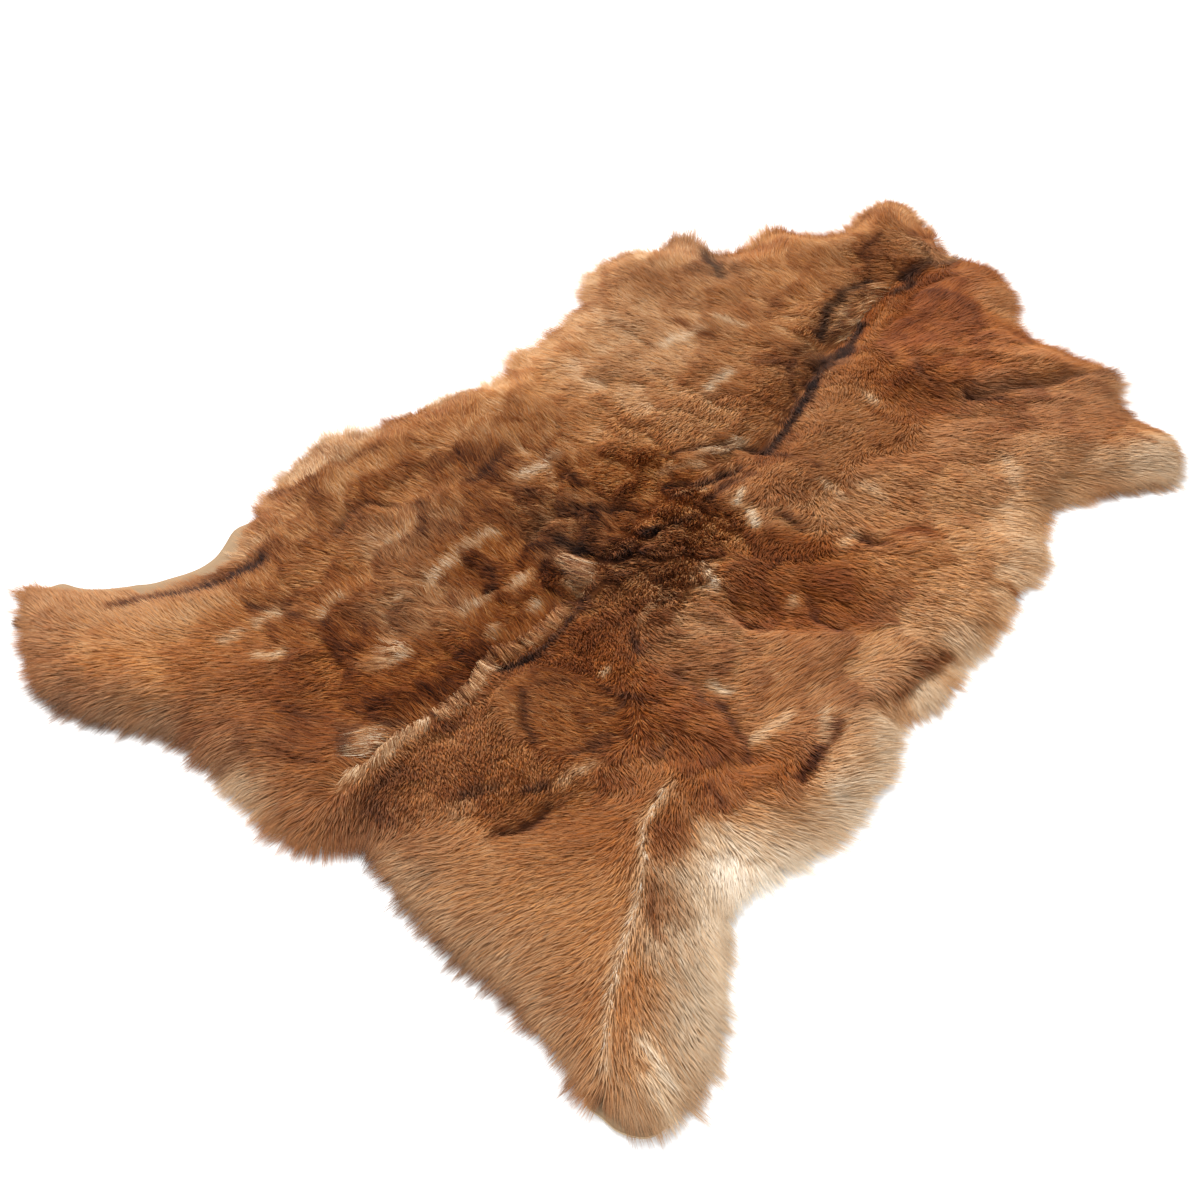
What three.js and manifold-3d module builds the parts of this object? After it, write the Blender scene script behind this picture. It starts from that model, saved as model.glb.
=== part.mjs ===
// A goatskin rug: one tanned hide with its hair on, lying flat with the flesh side down.
// Millimetres, +Z up, +Y towards the neck, the origin on the floor under the middle of the rug.
// The hide and its coat are one solid: a lumpy slab that thins towards its edge, with the partings,
// creases and ridges of the coat in its top, and locks of hair lying on the floor all round the rim.
import * as THREE from "three";
import { mergeVertices } from "three/addons/utils/BufferGeometryUtils.js";
import Module from "manifold-3d";

const wasm = await Module();
wasm.setup();

// Driving dimensions
const COAT_DEPTH = 17; // leather and hair together over the back
const RIM_HEIGHT = 6; // the same at the very edge
const RIM_ROLL = 42; // how far in from the edge the coat reaches its depth
const HAIR_OVERHANG = 10; // how far the hair hides the leather's edge
const RIM_STEP = 16; // along the edge, from one point of it to the next
const GRID_STEP = 15; // between the points of the top
const LEAST_DEPTH = 4; // at the bottom of a crease

// The edge of the coat, clockwise from above, one row for each stretch of it.
const edge = {
  leftHindShank: [[-299, -478], [-312, -467], [-330, -455], [-348, -449], [-355, -438], [-344, -425], [-325, -419]],
  leftHindInside: [[-309, -419], [-287, -403], [-266, -380], [-254, -358], [-244, -337]],
  leftGroin: [[-242, -318], [-257, -282], [-268, -242], [-277, -212]],
  leftFlank: [
    [-282, -178], [-288, -148], [-274, -135], [-272, -119], [-258, -126], [-254, -93], [-241, -65],
    [-232, -33], [-216, 0],
  ],
  leftElbow: [[-215, 34], [-232, 52], [-219, 72], [-222, 106], [-225, 134], [-229, 159]],
  leftShoulder: [
    [-250, 191], [-258, 215], [-252, 248], [-243, 274], [-224, 276], [-226, 296], [-226, 316],
    [-210, 323], [-179, 305],
  ],
  neck: [
    [-164, 316], [-152, 335], [-155, 386], [-141, 399], [-105, 404], [-90, 434], [-94, 467],
    [-92, 503], [-81, 524], [-61, 520], [-35, 504], [-22, 485], [-11, 496], [8, 474], [26, 456],
  ],
  rightShoulder: [
    [66, 466], [86, 452], [114, 427], [133, 385], [158, 374], [187, 372], [215, 371], [234, 375],
    [253, 358],
  ],
  rightForeleg: [
    [275, 314], [287, 316], [312, 317], [334, 307], [347, 284], [356, 253], [344, 231], [321, 206],
    [303, 183],
  ],
  rightElbow: [[286, 155], [288, 137], [292, 116], [305, 103], [308, 75]],
  rightFlank: [
    [312, 34], [313, 6], [317, -19], [314, -41], [308, -61], [311, -86], [315, -108], [298, -130],
    [302, -150],
  ],
  rightGroin: [[318, -176], [323, -207], [317, -251], [305, -299], [296, -319], [292, -353]],
  rightHindInside: [[301, -372], [325, -414], [335, -434], [344, -465], [346, -487], [345, -514]],
  rightHindShank: [[334, -523], [320, -528], [307, -529], [299, -522], [298, -529], [290, -531]],
  rightHindOutside: [
    [277, -523], [257, -513], [240, -514], [209, -501], [167, -495], [150, -498], [128, -490],
    [106, -486], [89, -480], [66, -471],
  ],
  tail: [[52, -467], [42, -474], [37, -483], [27, -494], [11, -496], [-8, -495], [-25, -497]],
  leftHindOutside: [
    [-29, -490], [-38, -485], [-52, -492], [-67, -482], [-89, -480], [-108, -478], [-131, -479],
    [-152, -485], [-177, -497], [-204, -505], [-226, -507], [-243, -508], [-267, -498], [-287, -490],
  ],
};

// Where the coat is deeper or shorter than over the back: centre, reach and change of depth.
const coatPatches = [
  { part: "leftHindShank", x: -285, y: -450, reach: 75, change: -5 },
  { part: "leftThigh", x: -170, y: -420, reach: 90, change: 2 },
  { part: "leftGroin", x: -252, y: -320, reach: 45, change: -8 },
  { part: "rightHindShank", x: 300, y: -480, reach: 80, change: -3 },
  { part: "rightThigh", x: 170, y: -420, reach: 90, change: 3 },
  { part: "rightGroin", x: 285, y: -330, reach: 60, change: -6 },
  { part: "rightForeleg", x: 325, y: 265, reach: 60, change: -5 },
  { part: "neck", x: -60, y: 430, reach: 90, change: 5 },
  { part: "leftShoulder", x: -215, y: 250, reach: 80, change: 3 },
  { part: "back", x: 40, y: -120, reach: 170, change: 4 },
  { part: "rightFlank", x: 250, y: 0, reach: 110, change: 2 },
];

// The folds of the lying hide and the partings of its coat, from end to end. Height is down if negative.
const folds = [
  { name: "spineCrease", width: 17, height: -10,
    line: [[30, 427], [20, 363], [2, 292], [14, 224], [40, 131], [45, 73], [41, 22], [18, -16]] },
  { name: "withersBranch", width: 15, height: -6, line: [[17, 222], [30, 270], [62, 292]] },
  { name: "spineRidge", width: 24, height: 5, line: [[-8, 360], [-25, 290], [-14, 215], [8, 130]] },
  { name: "rumpRidge", width: 18, height: 7,
    line: [[15, -165], [15, -210], [16, -240], [3, -290], [4, -345], [-2, -388], [-6, -433]] },
  { name: "rumpCrease", width: 13, height: -7,
    line: [[38, -175], [40, -241], [28, -289], [30, -344], [26, -388]] },
  { name: "rightForeCrease", width: 18, height: -8, line: [[241, 342], [204, 283], [157, 226], [118, 204]] },
  { name: "rightForeRidge", width: 26, height: 6, line: [[215, 350], [165, 290], [110, 245]] },
  { name: "foreShankRidge", width: 26, height: 5, line: [[335, 285], [270, 245], [215, 190]] },
  { name: "leftHindCrease", width: 12, height: -7, line: [[-217, -292], [-219, -353], [-261, -400]] },
  { name: "leftHindRidge", width: 22, height: 5, line: [[-300, -462], [-226, -435], [-195, -374], [-175, -320]] },
  { name: "rightHindRidge", width: 20, height: 8,
    line: [[203, -301], [216, -356], [236, -393], [255, -437], [277, -483], [300, -518]] },
  { name: "rightFlankRidge", width: 26, height: 6, line: [[300, -95], [272, -139], [262, -183], [268, -248]] },
  { name: "rightFlankCrease", width: 18, height: -6, line: [[290, -75], [245, -130], [235, -190], [236, -250]] },
  { name: "saddleCrease", width: 14, height: -6, line: [[172, -204], [211, -230], [233, -261]] },
  { name: "saddlePlate", width: 26, height: 5, line: [[95, -170], [140, -170], [200, -165]] },
  { name: "platePit", width: 12, height: -7, line: [[72, -190], [88, -208]] },
  { name: "lowerPlate", width: 24, height: 5, line: [[85, -305], [80, -275], [125, -240]] },
  { name: "leftBackRidge", width: 20, height: 5, line: [[-83, -273], [-81, -213], [-72, -160]] },
  { name: "leftBackCrease", width: 15, height: -5, line: [[-60, -275], [-58, -215], [-50, -160]] },
  { name: "leftFlankRidge", width: 26, height: 5, line: [[-222, -216], [-195, -150], [-165, -94], [-130, -24]] },
  { name: "leftFlankCrease", width: 16, height: -5, line: [[-195, -216], [-172, -161], [-139, -94], [-104, -24]] },
  { name: "leftLoinCrease", width: 14, height: -5, line: [[-150, -330], [-125, -270], [-110, -215]] },
  { name: "neckCrease", width: 14, height: -6, line: [[-169, 296], [-140, 274], [-95, 262]] },
  { name: "collarRidge", width: 26, height: 5, line: [[-70, 470], [-60, 400], [-65, 330]] },
  { name: "napeCrease", width: 14, height: -5, line: [[-35, 470], [-38, 400], [-45, 350]] },
  { name: "middleCrease", width: 18, height: -6, line: [[14, -81], [-40, -121], [-36, -179]] },
  { name: "hipCrease", width: 15, height: -6, line: [[134, -397], [154, -371], [171, -324], [189, -276]] },
  { name: "shoulderRidge", width: 28, height: 5, line: [[108, -110], [166, -55], [212, 20]] },
  { name: "shoulderCrease", width: 18, height: -5, line: [[130, -135], [190, -80], [236, -5]] },
  { name: "chestRidge", width: 30, height: 4, line: [[120, 60], [180, 110], [230, 165]] },
];

// Gentle unevenness all over: length and direction of each wave, its height and its place.
const swells = [
  { length: 96, turn: 0.5, height: 1.6, start: 0.4 },
  { length: 71, turn: 2.1, height: 1.4, start: 1.9 },
  { length: 53, turn: 1.2, height: 1.2, start: 3.1 },
  { length: 44, turn: 2.8, height: 0.9, start: 5.2 },
];

// The locks of hair round the rim, combed outwards and a little towards the tail
const lock = {
  rootInside: 6, shortest: 14, longest: 27, halfWidth: 6.4, height: 5, waist: 0.55, lean: 0.5, swing: 0.35,
};

// A repeatable number from 0 to 1 for the nth thing of its kind.
function chance(n, kind) {
  const wave = Math.sin(n * 12.9898 + kind * 78.233) * 43758.5453;
  return wave - Math.floor(wave);
}

function smooth(t) {
  const held = Math.min(1, Math.max(0, t));
  return held * held * (3 - 2 * held);
}

// The leather's edge: a smooth closed curve through the table, drawn in by the hair's overhang.
function leatherEdge() {
  const corners = Object.values(edge).flat();
  const curve = new THREE.CatmullRomCurve3(
    corners.map(([x, y]) => new THREE.Vector3(x, y, 0)), true, "centripetal");
  const count = Math.round(curve.getLength() / RIM_STEP);
  const points = curve.getSpacedPoints(count).slice(0, count);
  const turnsLeft = THREE.ShapeUtils.area(points) > 0;
  return points.map((point, i) => {
    const before = points[(i + count - 1) % count];
    const after = points[(i + 1) % count];
    const along = new THREE.Vector2(after.x - before.x, after.y - before.y).normalize();
    const outward = turnsLeft ? new THREE.Vector2(along.y, -along.x) : new THREE.Vector2(-along.y, along.x);
    return {
      at: new THREE.Vector2(point.x, point.y).addScaledVector(outward, -HAIR_OVERHANG),
      outward,
    };
  });
}

function distanceToSegment(x, y, from, to) {
  const dx = to[0] - from[0];
  const dy = to[1] - from[1];
  const share = ((x - from[0]) * dx + (y - from[1]) * dy) / (dx * dx + dy * dy);
  const held = Math.min(1, Math.max(0, share));
  return Math.hypot(x - from[0] - held * dx, y - from[1] - held * dy);
}

function distanceToLine(x, y, line) {
  let least = Infinity;
  for (let i = 1; i < line.length; i++) {
    least = Math.min(least, distanceToSegment(x, y, line[i - 1], line[i]));
  }
  return least;
}

// How high the coat stands at a place, without regard to the rim.
function coatHeight(x, y) {
  let height = COAT_DEPTH;
  for (const patch of coatPatches) {
    const far = Math.hypot(x - patch.x, y - patch.y) / patch.reach;
    height += patch.change * Math.exp(-far * far);
  }
  for (const fold of folds) {
    const far = distanceToLine(x, y, fold.line) / fold.width;
    height += fold.height * Math.exp(-far * far);
  }
  for (const swell of swells) {
    const way = x * Math.cos(swell.turn) + y * Math.sin(swell.turn);
    height += swell.height * Math.sin((2 * Math.PI * way) / swell.length + swell.start);
  }
  return Math.max(LEAST_DEPTH, height);
}

// The top of the rug: the coat's height, rolled down to the rim over RIM_ROLL.
function topHeight(x, y, rimLine, rimShape) {
  if (!inside(x, y, rimShape)) return RIM_HEIGHT;
  const inFromRim = Math.min(1, distanceToLine(x, y, rimLine) / RIM_ROLL);
  const roll = Math.sqrt(1 - (1 - inFromRim) ** 2);
  return RIM_HEIGHT + (Math.max(coatHeight(x, y), RIM_HEIGHT) - RIM_HEIGHT) * roll
    + Math.min(0, coatHeight(x, y) - RIM_HEIGHT) * smooth(inFromRim);
}

function inside(x, y, shape) {
  let crossings = 0;
  for (let i = 0, j = shape.length - 1; i < shape.length; j = i++) {
    const [a, b] = [shape[i], shape[j]];
    const straddles = a.y > y !== b.y > y;
    if (straddles && x < ((b.x - a.x) * (y - a.y)) / (b.y - a.y) + a.x) crossings++;
  }
  return crossings % 2 === 1;
}

// A three.js geometry as a solid for joining and cutting.
function solidFrom(geometry) {
  geometry.deleteAttribute("normal");
  geometry.deleteAttribute("uv");
  const merged = mergeVertices(geometry);
  return new wasm.Manifold(new wasm.Mesh({
    numProp: 3,
    vertProperties: new Float32Array(merged.attributes.position.array),
    triVerts: new Uint32Array(merged.index.array),
  }));
}

function geometryFrom(solid) {
  const mesh = solid.getMesh();
  const geometry = new THREE.BufferGeometry();
  geometry.setAttribute("position", new THREE.BufferAttribute(mesh.vertProperties, mesh.numProp));
  geometry.setIndex(new THREE.BufferAttribute(mesh.triVerts, 1));
  geometry.computeVertexNormals();
  return geometry;
}

// The lumpy slab: a fine-meshed box whose top is bent to the coat, cut along the leather's edge.
function slab(rim) {
  const rimShape = rim.map((place) => place.at);
  const rimLine = [...rimShape, rimShape[0]].map((point) => [point.x, point.y]);
  const box = new THREE.Box2().setFromPoints(rimShape).expandByScalar(GRID_STEP);
  const size = box.getSize(new THREE.Vector2());
  const middle = box.getCenter(new THREE.Vector2());
  const below = 20; // the box's floor lies lower than the cut, so that the cut alone makes the underside
  const block = new THREE.BoxGeometry(
    size.x, size.y, below, Math.round(size.x / GRID_STEP), Math.round(size.y / GRID_STEP), 1);
  block.translate(middle.x, middle.y, -below / 2);
  const position = block.attributes.position;
  for (let i = 0; i < position.count; i++) {
    if (position.getZ(i) < -below / 2) continue;
    position.setZ(i, topHeight(position.getX(i), position.getY(i), rimLine, rimShape));
  }
  const cutter = new THREE.ExtrudeGeometry(
    new THREE.Shape(rimShape), { depth: 3 * COAT_DEPTH, bevelEnabled: false });
  return solidFrom(block).intersect(solidFrom(cutter));
}

// One lock: flat on the floor, ridged on top, widest at its root and pointed at its tip.
function lockSolid(place, n) {
  const turn = (chance(n, 1) - 0.5) * 2 * lock.swing;
  const combed = place.outward.clone().add(new THREE.Vector2(0, -lock.lean)).normalize();
  const way = combed.rotateAround(new THREE.Vector2(), turn);
  const side = new THREE.Vector2(-way.y, way.x);
  const root = place.at.clone().addScaledVector(place.outward, -lock.rootInside);
  const reach = lock.rootInside + lock.shortest + (lock.longest - lock.shortest) * chance(n, 2);
  const stations = [
    { along: 0, half: lock.halfWidth, high: lock.height },
    { along: lock.waist * reach, half: 0.78 * lock.halfWidth, high: 0.72 * lock.height },
  ];
  const corners = stations.flatMap(({ along, half, high }) => {
    const centre = root.clone().addScaledVector(way, along);
    const left = centre.clone().addScaledVector(side, half);
    const right = centre.clone().addScaledVector(side, -half);
    return [left.x, left.y, 0, right.x, right.y, 0, centre.x, centre.y, high];
  });
  const tip = root.clone().addScaledVector(way, reach);
  const geometry = new THREE.BufferGeometry();
  geometry.setAttribute("position", new THREE.Float32BufferAttribute([...corners, tip.x, tip.y, 0], 3));
  geometry.setIndex([
    0, 1, 2, // the root's end
    1, 0, 3, 1, 3, 4, // the underside
    2, 1, 4, 2, 4, 5, 0, 2, 5, 0, 5, 3, // the two slopes
    4, 3, 6, 5, 4, 6, 3, 5, 6, // the tip
  ]);
  return solidFrom(geometry);
}

function goatskin() {
  const rim = leatherEdge();
  let whole = slab(rim);
  rim.forEach((place, n) => {
    whole = whole.add(lockSolid(place, n));
  });
  const coat = new THREE.MeshStandardMaterial({ color: 0xa56a3c, roughness: 0.9, metalness: 0 });
  const mesh = new THREE.Mesh(geometryFrom(whole), coat);
  mesh.name = "goatskin";
  return mesh;
}

const rug = new THREE.Group();
rug.name = "goatskinRug";
rug.add(goatskin());

export default rug;
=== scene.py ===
import math

import bpy
import numpy as np
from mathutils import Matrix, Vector


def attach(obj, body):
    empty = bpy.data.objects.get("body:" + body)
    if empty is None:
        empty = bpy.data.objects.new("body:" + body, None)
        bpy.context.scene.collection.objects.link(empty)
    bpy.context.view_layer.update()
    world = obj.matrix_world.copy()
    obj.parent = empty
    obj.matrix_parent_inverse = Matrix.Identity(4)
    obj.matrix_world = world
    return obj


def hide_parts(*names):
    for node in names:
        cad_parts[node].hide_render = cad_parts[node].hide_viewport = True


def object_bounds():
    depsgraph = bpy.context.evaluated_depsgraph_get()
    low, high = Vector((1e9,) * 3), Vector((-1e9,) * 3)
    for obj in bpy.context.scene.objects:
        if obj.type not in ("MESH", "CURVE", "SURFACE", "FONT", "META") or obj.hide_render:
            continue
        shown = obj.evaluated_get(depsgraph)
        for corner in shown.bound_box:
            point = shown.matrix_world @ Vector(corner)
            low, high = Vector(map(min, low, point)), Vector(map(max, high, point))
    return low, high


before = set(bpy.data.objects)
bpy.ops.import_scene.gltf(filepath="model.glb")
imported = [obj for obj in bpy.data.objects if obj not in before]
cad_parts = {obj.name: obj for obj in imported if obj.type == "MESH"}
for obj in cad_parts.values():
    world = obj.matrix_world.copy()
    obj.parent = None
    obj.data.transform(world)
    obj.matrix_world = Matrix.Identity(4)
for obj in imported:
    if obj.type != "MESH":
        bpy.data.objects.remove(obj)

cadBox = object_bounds()

# A goatskin rug: the tanned hide as one closed sheet, and its coat as combed layers of hairs.
# Lengths are in metres unless a name says Mm, angles are in radians unless a name says Deg.
mm = 0.001
tiny = 1e-9  # keeps divisions from nothing

# The photograph's view. Marks on the coat are placed by its pixels and carried onto the rug.
photoView = {
    "width": 1198,
    "height": 1200,
    "lensMm": 48.0,
    "sensorMm": 36.0,
    "azimuthDeg": 36.7,
    "elevationDeg": 44.0,
    "eyeHeight": 0.896,
    "aim": (0.0346, -0.1658),
    "clip": (0.05, 30.0),  # how near and how far it sees
}


def viewAxes(view):
    # Right, up and back directions of the camera, and its place: back from the aim by height over sine.
    a = math.radians(view["azimuthDeg"])
    e = math.radians(view["elevationDeg"])
    right = np.array([math.cos(a), math.sin(a), 0.0])
    up = np.array([-math.sin(a) * math.sin(e), math.cos(a) * math.sin(e), math.cos(e)])
    back = np.array([math.sin(a) * math.cos(e), -math.cos(a) * math.cos(e), math.sin(e)])
    place = np.array([*view["aim"], 0.0]) + back * view["eyeHeight"] / math.sin(e)
    return right, up, back, place


def addCamera():
    right, up, back, place = viewAxes(photoView)
    data = bpy.data.cameras.new("photoCamera")
    data.lens = photoView["lensMm"]
    data.sensor_width = photoView["sensorMm"]
    data.clip_start, data.clip_end = photoView["clip"]
    camera = bpy.data.objects.new("photoCamera", data)
    camera.location = place
    camera.rotation_euler = Vector(-back).to_track_quat("-Z", "Y").to_euler()
    bpy.context.scene.collection.objects.link(camera)
    bpy.context.scene.camera = camera


addCamera()
print("camera placed")

# Fields over the plan of the rug

planGrid = {"step": 2.5 * mm, "margin": 40 * mm}


def planAxes(grid):
    low, high = cadBox
    xs = np.arange(low.x - grid["margin"], high.x + grid["margin"], grid["step"])
    ys = np.arange(low.y - grid["margin"], high.y + grid["margin"], grid["step"])
    return xs, ys


xs, ys = planAxes(planGrid)
planX, planY = np.meshgrid(xs, ys)


def between(values, u, v, ease):
    # Values of a grid read between its points, u and v steps from its first: the four nearest, weighted
    # by eased closeness.
    i = u.astype(int)
    j = v.astype(int)
    fu = ease(u - i)
    fv = ease(v - j)
    low = values[j, i] * (1 - fu) + values[j, i + 1] * fu
    high = values[j + 1, i] * (1 - fu) + values[j + 1, i + 1] * fu
    return low * (1 - fv) + high * fv


def sample(field, x, y):
    # A field of the plan read at any place, held just inside its last points.
    u = np.clip((x - xs[0]) / planGrid["step"], 0, len(xs) - 1.001)
    v = np.clip((y - ys[0]) / planGrid["step"], 0, len(ys) - 1.001)
    return between(field, u, v, lambda share: share)


def softened(field, reach):
    # A field blurred by three running means along each axis, each about as wide as reach.
    half = max(1, int(round(reach / planGrid["step"] / 2)))
    width = 2 * half + 1
    for axis in (0, 1):
        for _ in range(3):
            pad = [(half + 1, half) if a == axis else (0, 0) for a in (0, 1)]
            total = np.cumsum(np.pad(field, pad, mode="edge"), axis=axis)
            count = field.shape[axis]
            upper = np.take(total, np.arange(width, width + count), axis=axis)
            lower = np.take(total, np.arange(0, count), axis=axis)
            field = (upper - lower) / width
    return field


def smoothStep(t):
    # From 0 at 0 to 1 at 1, level at both ends: three times the square less twice the cube.
    held = np.clip(t, 0, 1)
    return held * held * (3 - 2 * held)


def nearness(depth, reach):
    # 1 at the rim, falling smoothly to 0 at a depth of reach.
    return 1 - smoothStep(depth / reach)


def solidTop(node):
    # Heights of the solid's top: a flat grid of points is dropped straight down on it.
    # Points that miss it keep their starting height, and are given as nothing.
    start = 0.2
    mesh = bpy.data.meshes.new("probe")
    points = np.column_stack([planX.ravel(), planY.ravel(), np.full(planX.size, start)])
    mesh.from_pydata(points, [], [])
    probe = bpy.data.objects.new("probe", mesh)
    bpy.context.scene.collection.objects.link(probe)
    drop = probe.modifiers.new("drop", "SHRINKWRAP")
    drop.wrap_method = "PROJECT"
    drop.use_project_z = True
    drop.use_negative_direction = True
    drop.use_positive_direction = False
    drop.target = node
    dropped = probe.evaluated_get(bpy.context.evaluated_depsgraph_get())
    flat = np.empty(planX.size * 3, np.float32)
    dropped.data.vertices.foreach_get("co", flat)
    height = flat.reshape(-1, 3)[:, 2].reshape(planX.shape).astype(float)
    bpy.data.objects.remove(probe)
    bpy.data.meshes.remove(mesh)
    return np.where(height > start - mm, 0.0, height)


def reachFrom(region, furthest):
    # Distance from a region, up to furthest: each round takes the least of a point's eight neighbours
    # plus the way to it.
    step = planGrid["step"]
    far = np.where(region, 0.0, furthest)
    for _ in range(int(furthest / step) + 2):
        padded = np.pad(far, 1, constant_values=furthest)
        for dj in (-1, 0, 1):
            for di in (-1, 0, 1):
                way = step * math.hypot(di, dj)
                near = padded[1 + dj:padded.shape[0] - 1 + dj, 1 + di:padded.shape[1] - 1 + di]
                far = np.minimum(far, near + way)
    return far


# The leather ends where the solid's top drops to its rim locks, which are lower than this.
leather = {
    "lockTop": 5.2 * mm,
    "depthKnown": 70 * mm,  # how far in and out the way to its edge is measured
    "edgeBlur": 7 * mm,
    "wayBlur": 15 * mm,
    "leastSlope": 1e-6,
}

solidHeight = solidTop(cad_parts["goatskin"])
onLeather = solidHeight > leather["lockTop"]
inward = reachFrom(~onLeather, leather["depthKnown"])
outward = reachFrom(onLeather, leather["depthKnown"])
rimDepth = softened(inward - outward, leather["edgeBlur"])  # over nothing inside the edge, under it outside
print("rim and heights read from the solid")


def wayOut(depth):
    # Unit vectors of the way out over the nearest edge.
    slopeY, slopeX = np.gradient(softened(depth, leather["wayBlur"]), planGrid["step"])
    slope = np.hypot(slopeX, slopeY) + leather["leastSlope"]
    return -slopeX / slope, -slopeY / slope


# Relief of the coat: the solid's heights, and the roll of the hair down to the floor at the rim.
relief = {
    "facetBlur": 16 * mm,
    "leastWeight": 1e-6,
    "rimHair": 6.5 * mm,  # height over the leather's edge
    "rimRoll": 30 * mm,
    "rimOverhang": 14 * mm,
    "fallPower": 1.5,
    "tipLevel": 0.8 * mm,
    "least": 3 * mm,
    "foldFade": 12 * mm,  # depth at which fine folds have their full height
    "uneven": ((1.3, 21, 22 * mm), (0.7, 22, 9 * mm)),  # heights in millimetres, seeds and cells of mottling
    "calmUneven": 0.4,  # share of it where the coat lies calm
}


def coatBase(depth):
    # Height of the coat without its fine folds. Outside the leather it falls away over the overhang.
    weight = softened(onLeather.astype(float), relief["facetBlur"]) + relief["leastWeight"]
    height = softened(np.where(onLeather, solidHeight, 0.0), relief["facetBlur"]) / weight
    height = relief["rimHair"] + (height - relief["rimHair"]) * smoothStep(depth / relief["rimRoll"])
    fall = np.clip(1 + depth / relief["rimOverhang"], 0, 1)
    outside = relief["tipLevel"] + (relief["rimHair"] - relief["tipLevel"]) * fall ** relief["fallPower"]
    return np.where(depth > 0, height, outside)


baseTop = coatBase(rimDepth)

# How lines of sight are met with the coat: the level that is tried first, and the number of rounds.
sight = {"firstLevel": 0.012, "rounds": 5}


def onCoat(pixels):
    # Where lines of sight through these pixels meet the coat, as an array of x, y: each is met with a
    # level, which is then set to the coat's height at that place, a few times over.
    view = photoView
    right, up, back, place = viewAxes(view)
    focal = view["lensMm"] / view["sensorMm"] * view["height"]
    px = np.atleast_2d(np.asarray(pixels, float))
    across = px[:, 0] - view["width"] / 2
    down = px[:, 1] - view["height"] / 2
    ray = -back * focal + across[:, None] * right - down[:, None] * up
    level = np.full(len(px), sight["firstLevel"])
    for _ in range(sight["rounds"]):
        spot = place + ray * ((level - place[2]) / ray[:, 2])[:, None]
        level = (level + sample(baseTop, spot[:, 0], spot[:, 1])) / 2
    return spot[:, :2]


def lineFields(pixels):
    # Distance of every plan point from a line through these pixels, its distance straight across the line
    # (over nothing to the line's left), and the line's direction at its nearest point.
    points = onCoat(pixels)
    nearest = np.full(planX.shape, np.inf)
    across, alongX, alongY = np.zeros((3, *planX.shape))
    for (ax, ay), (bx, by) in zip(points[:-1], points[1:]):
        dx = bx - ax
        dy = by - ay
        length = math.hypot(dx, dy)
        share = np.clip(((planX - ax) * dx + (planY - ay) * dy) / length**2, 0, 1)
        offX = planX - ax - share * dx
        offY = planY - ay - share * dy
        far = np.hypot(offX, offY)
        closer = far < nearest
        nearest = np.where(closer, far, nearest)
        across = np.where(closer, (dx * offY - dy * offX) / length, across)
        alongX = np.where(closer, dx / length, alongX)
        alongY = np.where(closer, dy / length, alongY)
    return nearest, across, alongX, alongY


# How far the changes at the rim reach.
rimShape = {
    "growthReach": 20 * mm,  # how far round their lines the coat's changes at the rim reach
    "stripReach": 32 * mm,  # how far in and out a bare strip can go from its line
    "stripPower": 6,
    "holdsBack": 4 * mm,  # the leather draws back with the coat by what is more than this
    "coatFade": 4 * mm,
    "stripFade": 3 * mm,
}


def besideLine(pixels, reach):
    # 1 beside a line through these pixels, however far in or out up to three centimetres, falling off by a
    # bell past its ends.
    nearest, across = lineFields(pixels)[:2]
    past = nearest**2 - across**2
    return np.exp(-past / reach**2 - (nearest / rimShape["stripReach"]) ** rimShape["stripPower"])


def mottle(seed, cell):
    # Smooth random unevenness, mostly between -1 and 1: random values on a coarse grid, eased between.
    rng = np.random.default_rng(seed)
    u = (planX - xs[0]) / cell
    v = (planY - ys[0]) / cell
    values = rng.uniform(-1, 1, (int(v.max()) + 3, int(u.max()) + 3))
    return between(values, u, v, smoothStep)


def mottled(base, rows):
    # A base, and to it a share of each mottling: share, seed and cell.
    for share, seed, cell in rows:
        base = base + share * mottle(seed, cell)
    return base


# Bare skin: strips along the rim where the leather shows. How wide the strip is, how far it goes on past
# the line's ends, how far it reaches past the solid's edge, in millimetres, and pixels of its line.
bareSkin = [
    (20, 14, 17, [(150, 590), (178, 583), (204, 576), (228, 562), (243, 545), (252, 530)]),
    (11, 12, 20, [(58, 594), (110, 597), (140, 592)]),
    (5, 10, 10, [(404, 414), (435, 402), (470, 390)]),
    (9, 12, 11, [(600, 1108), (608, 1120), (622, 1130), (644, 1137)]),
    (4, 9, 3, [(738, 914), (744, 902), (760, 890)]),
    (5, 8, 3, [(1176, 440), (1183, 456), (1181, 478)]),
    (0, 12, 7, [(704, 248), (718, 252), (736, 250)]),
    (0, 9, 3, [(672, 238), (690, 237)]),
]
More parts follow.
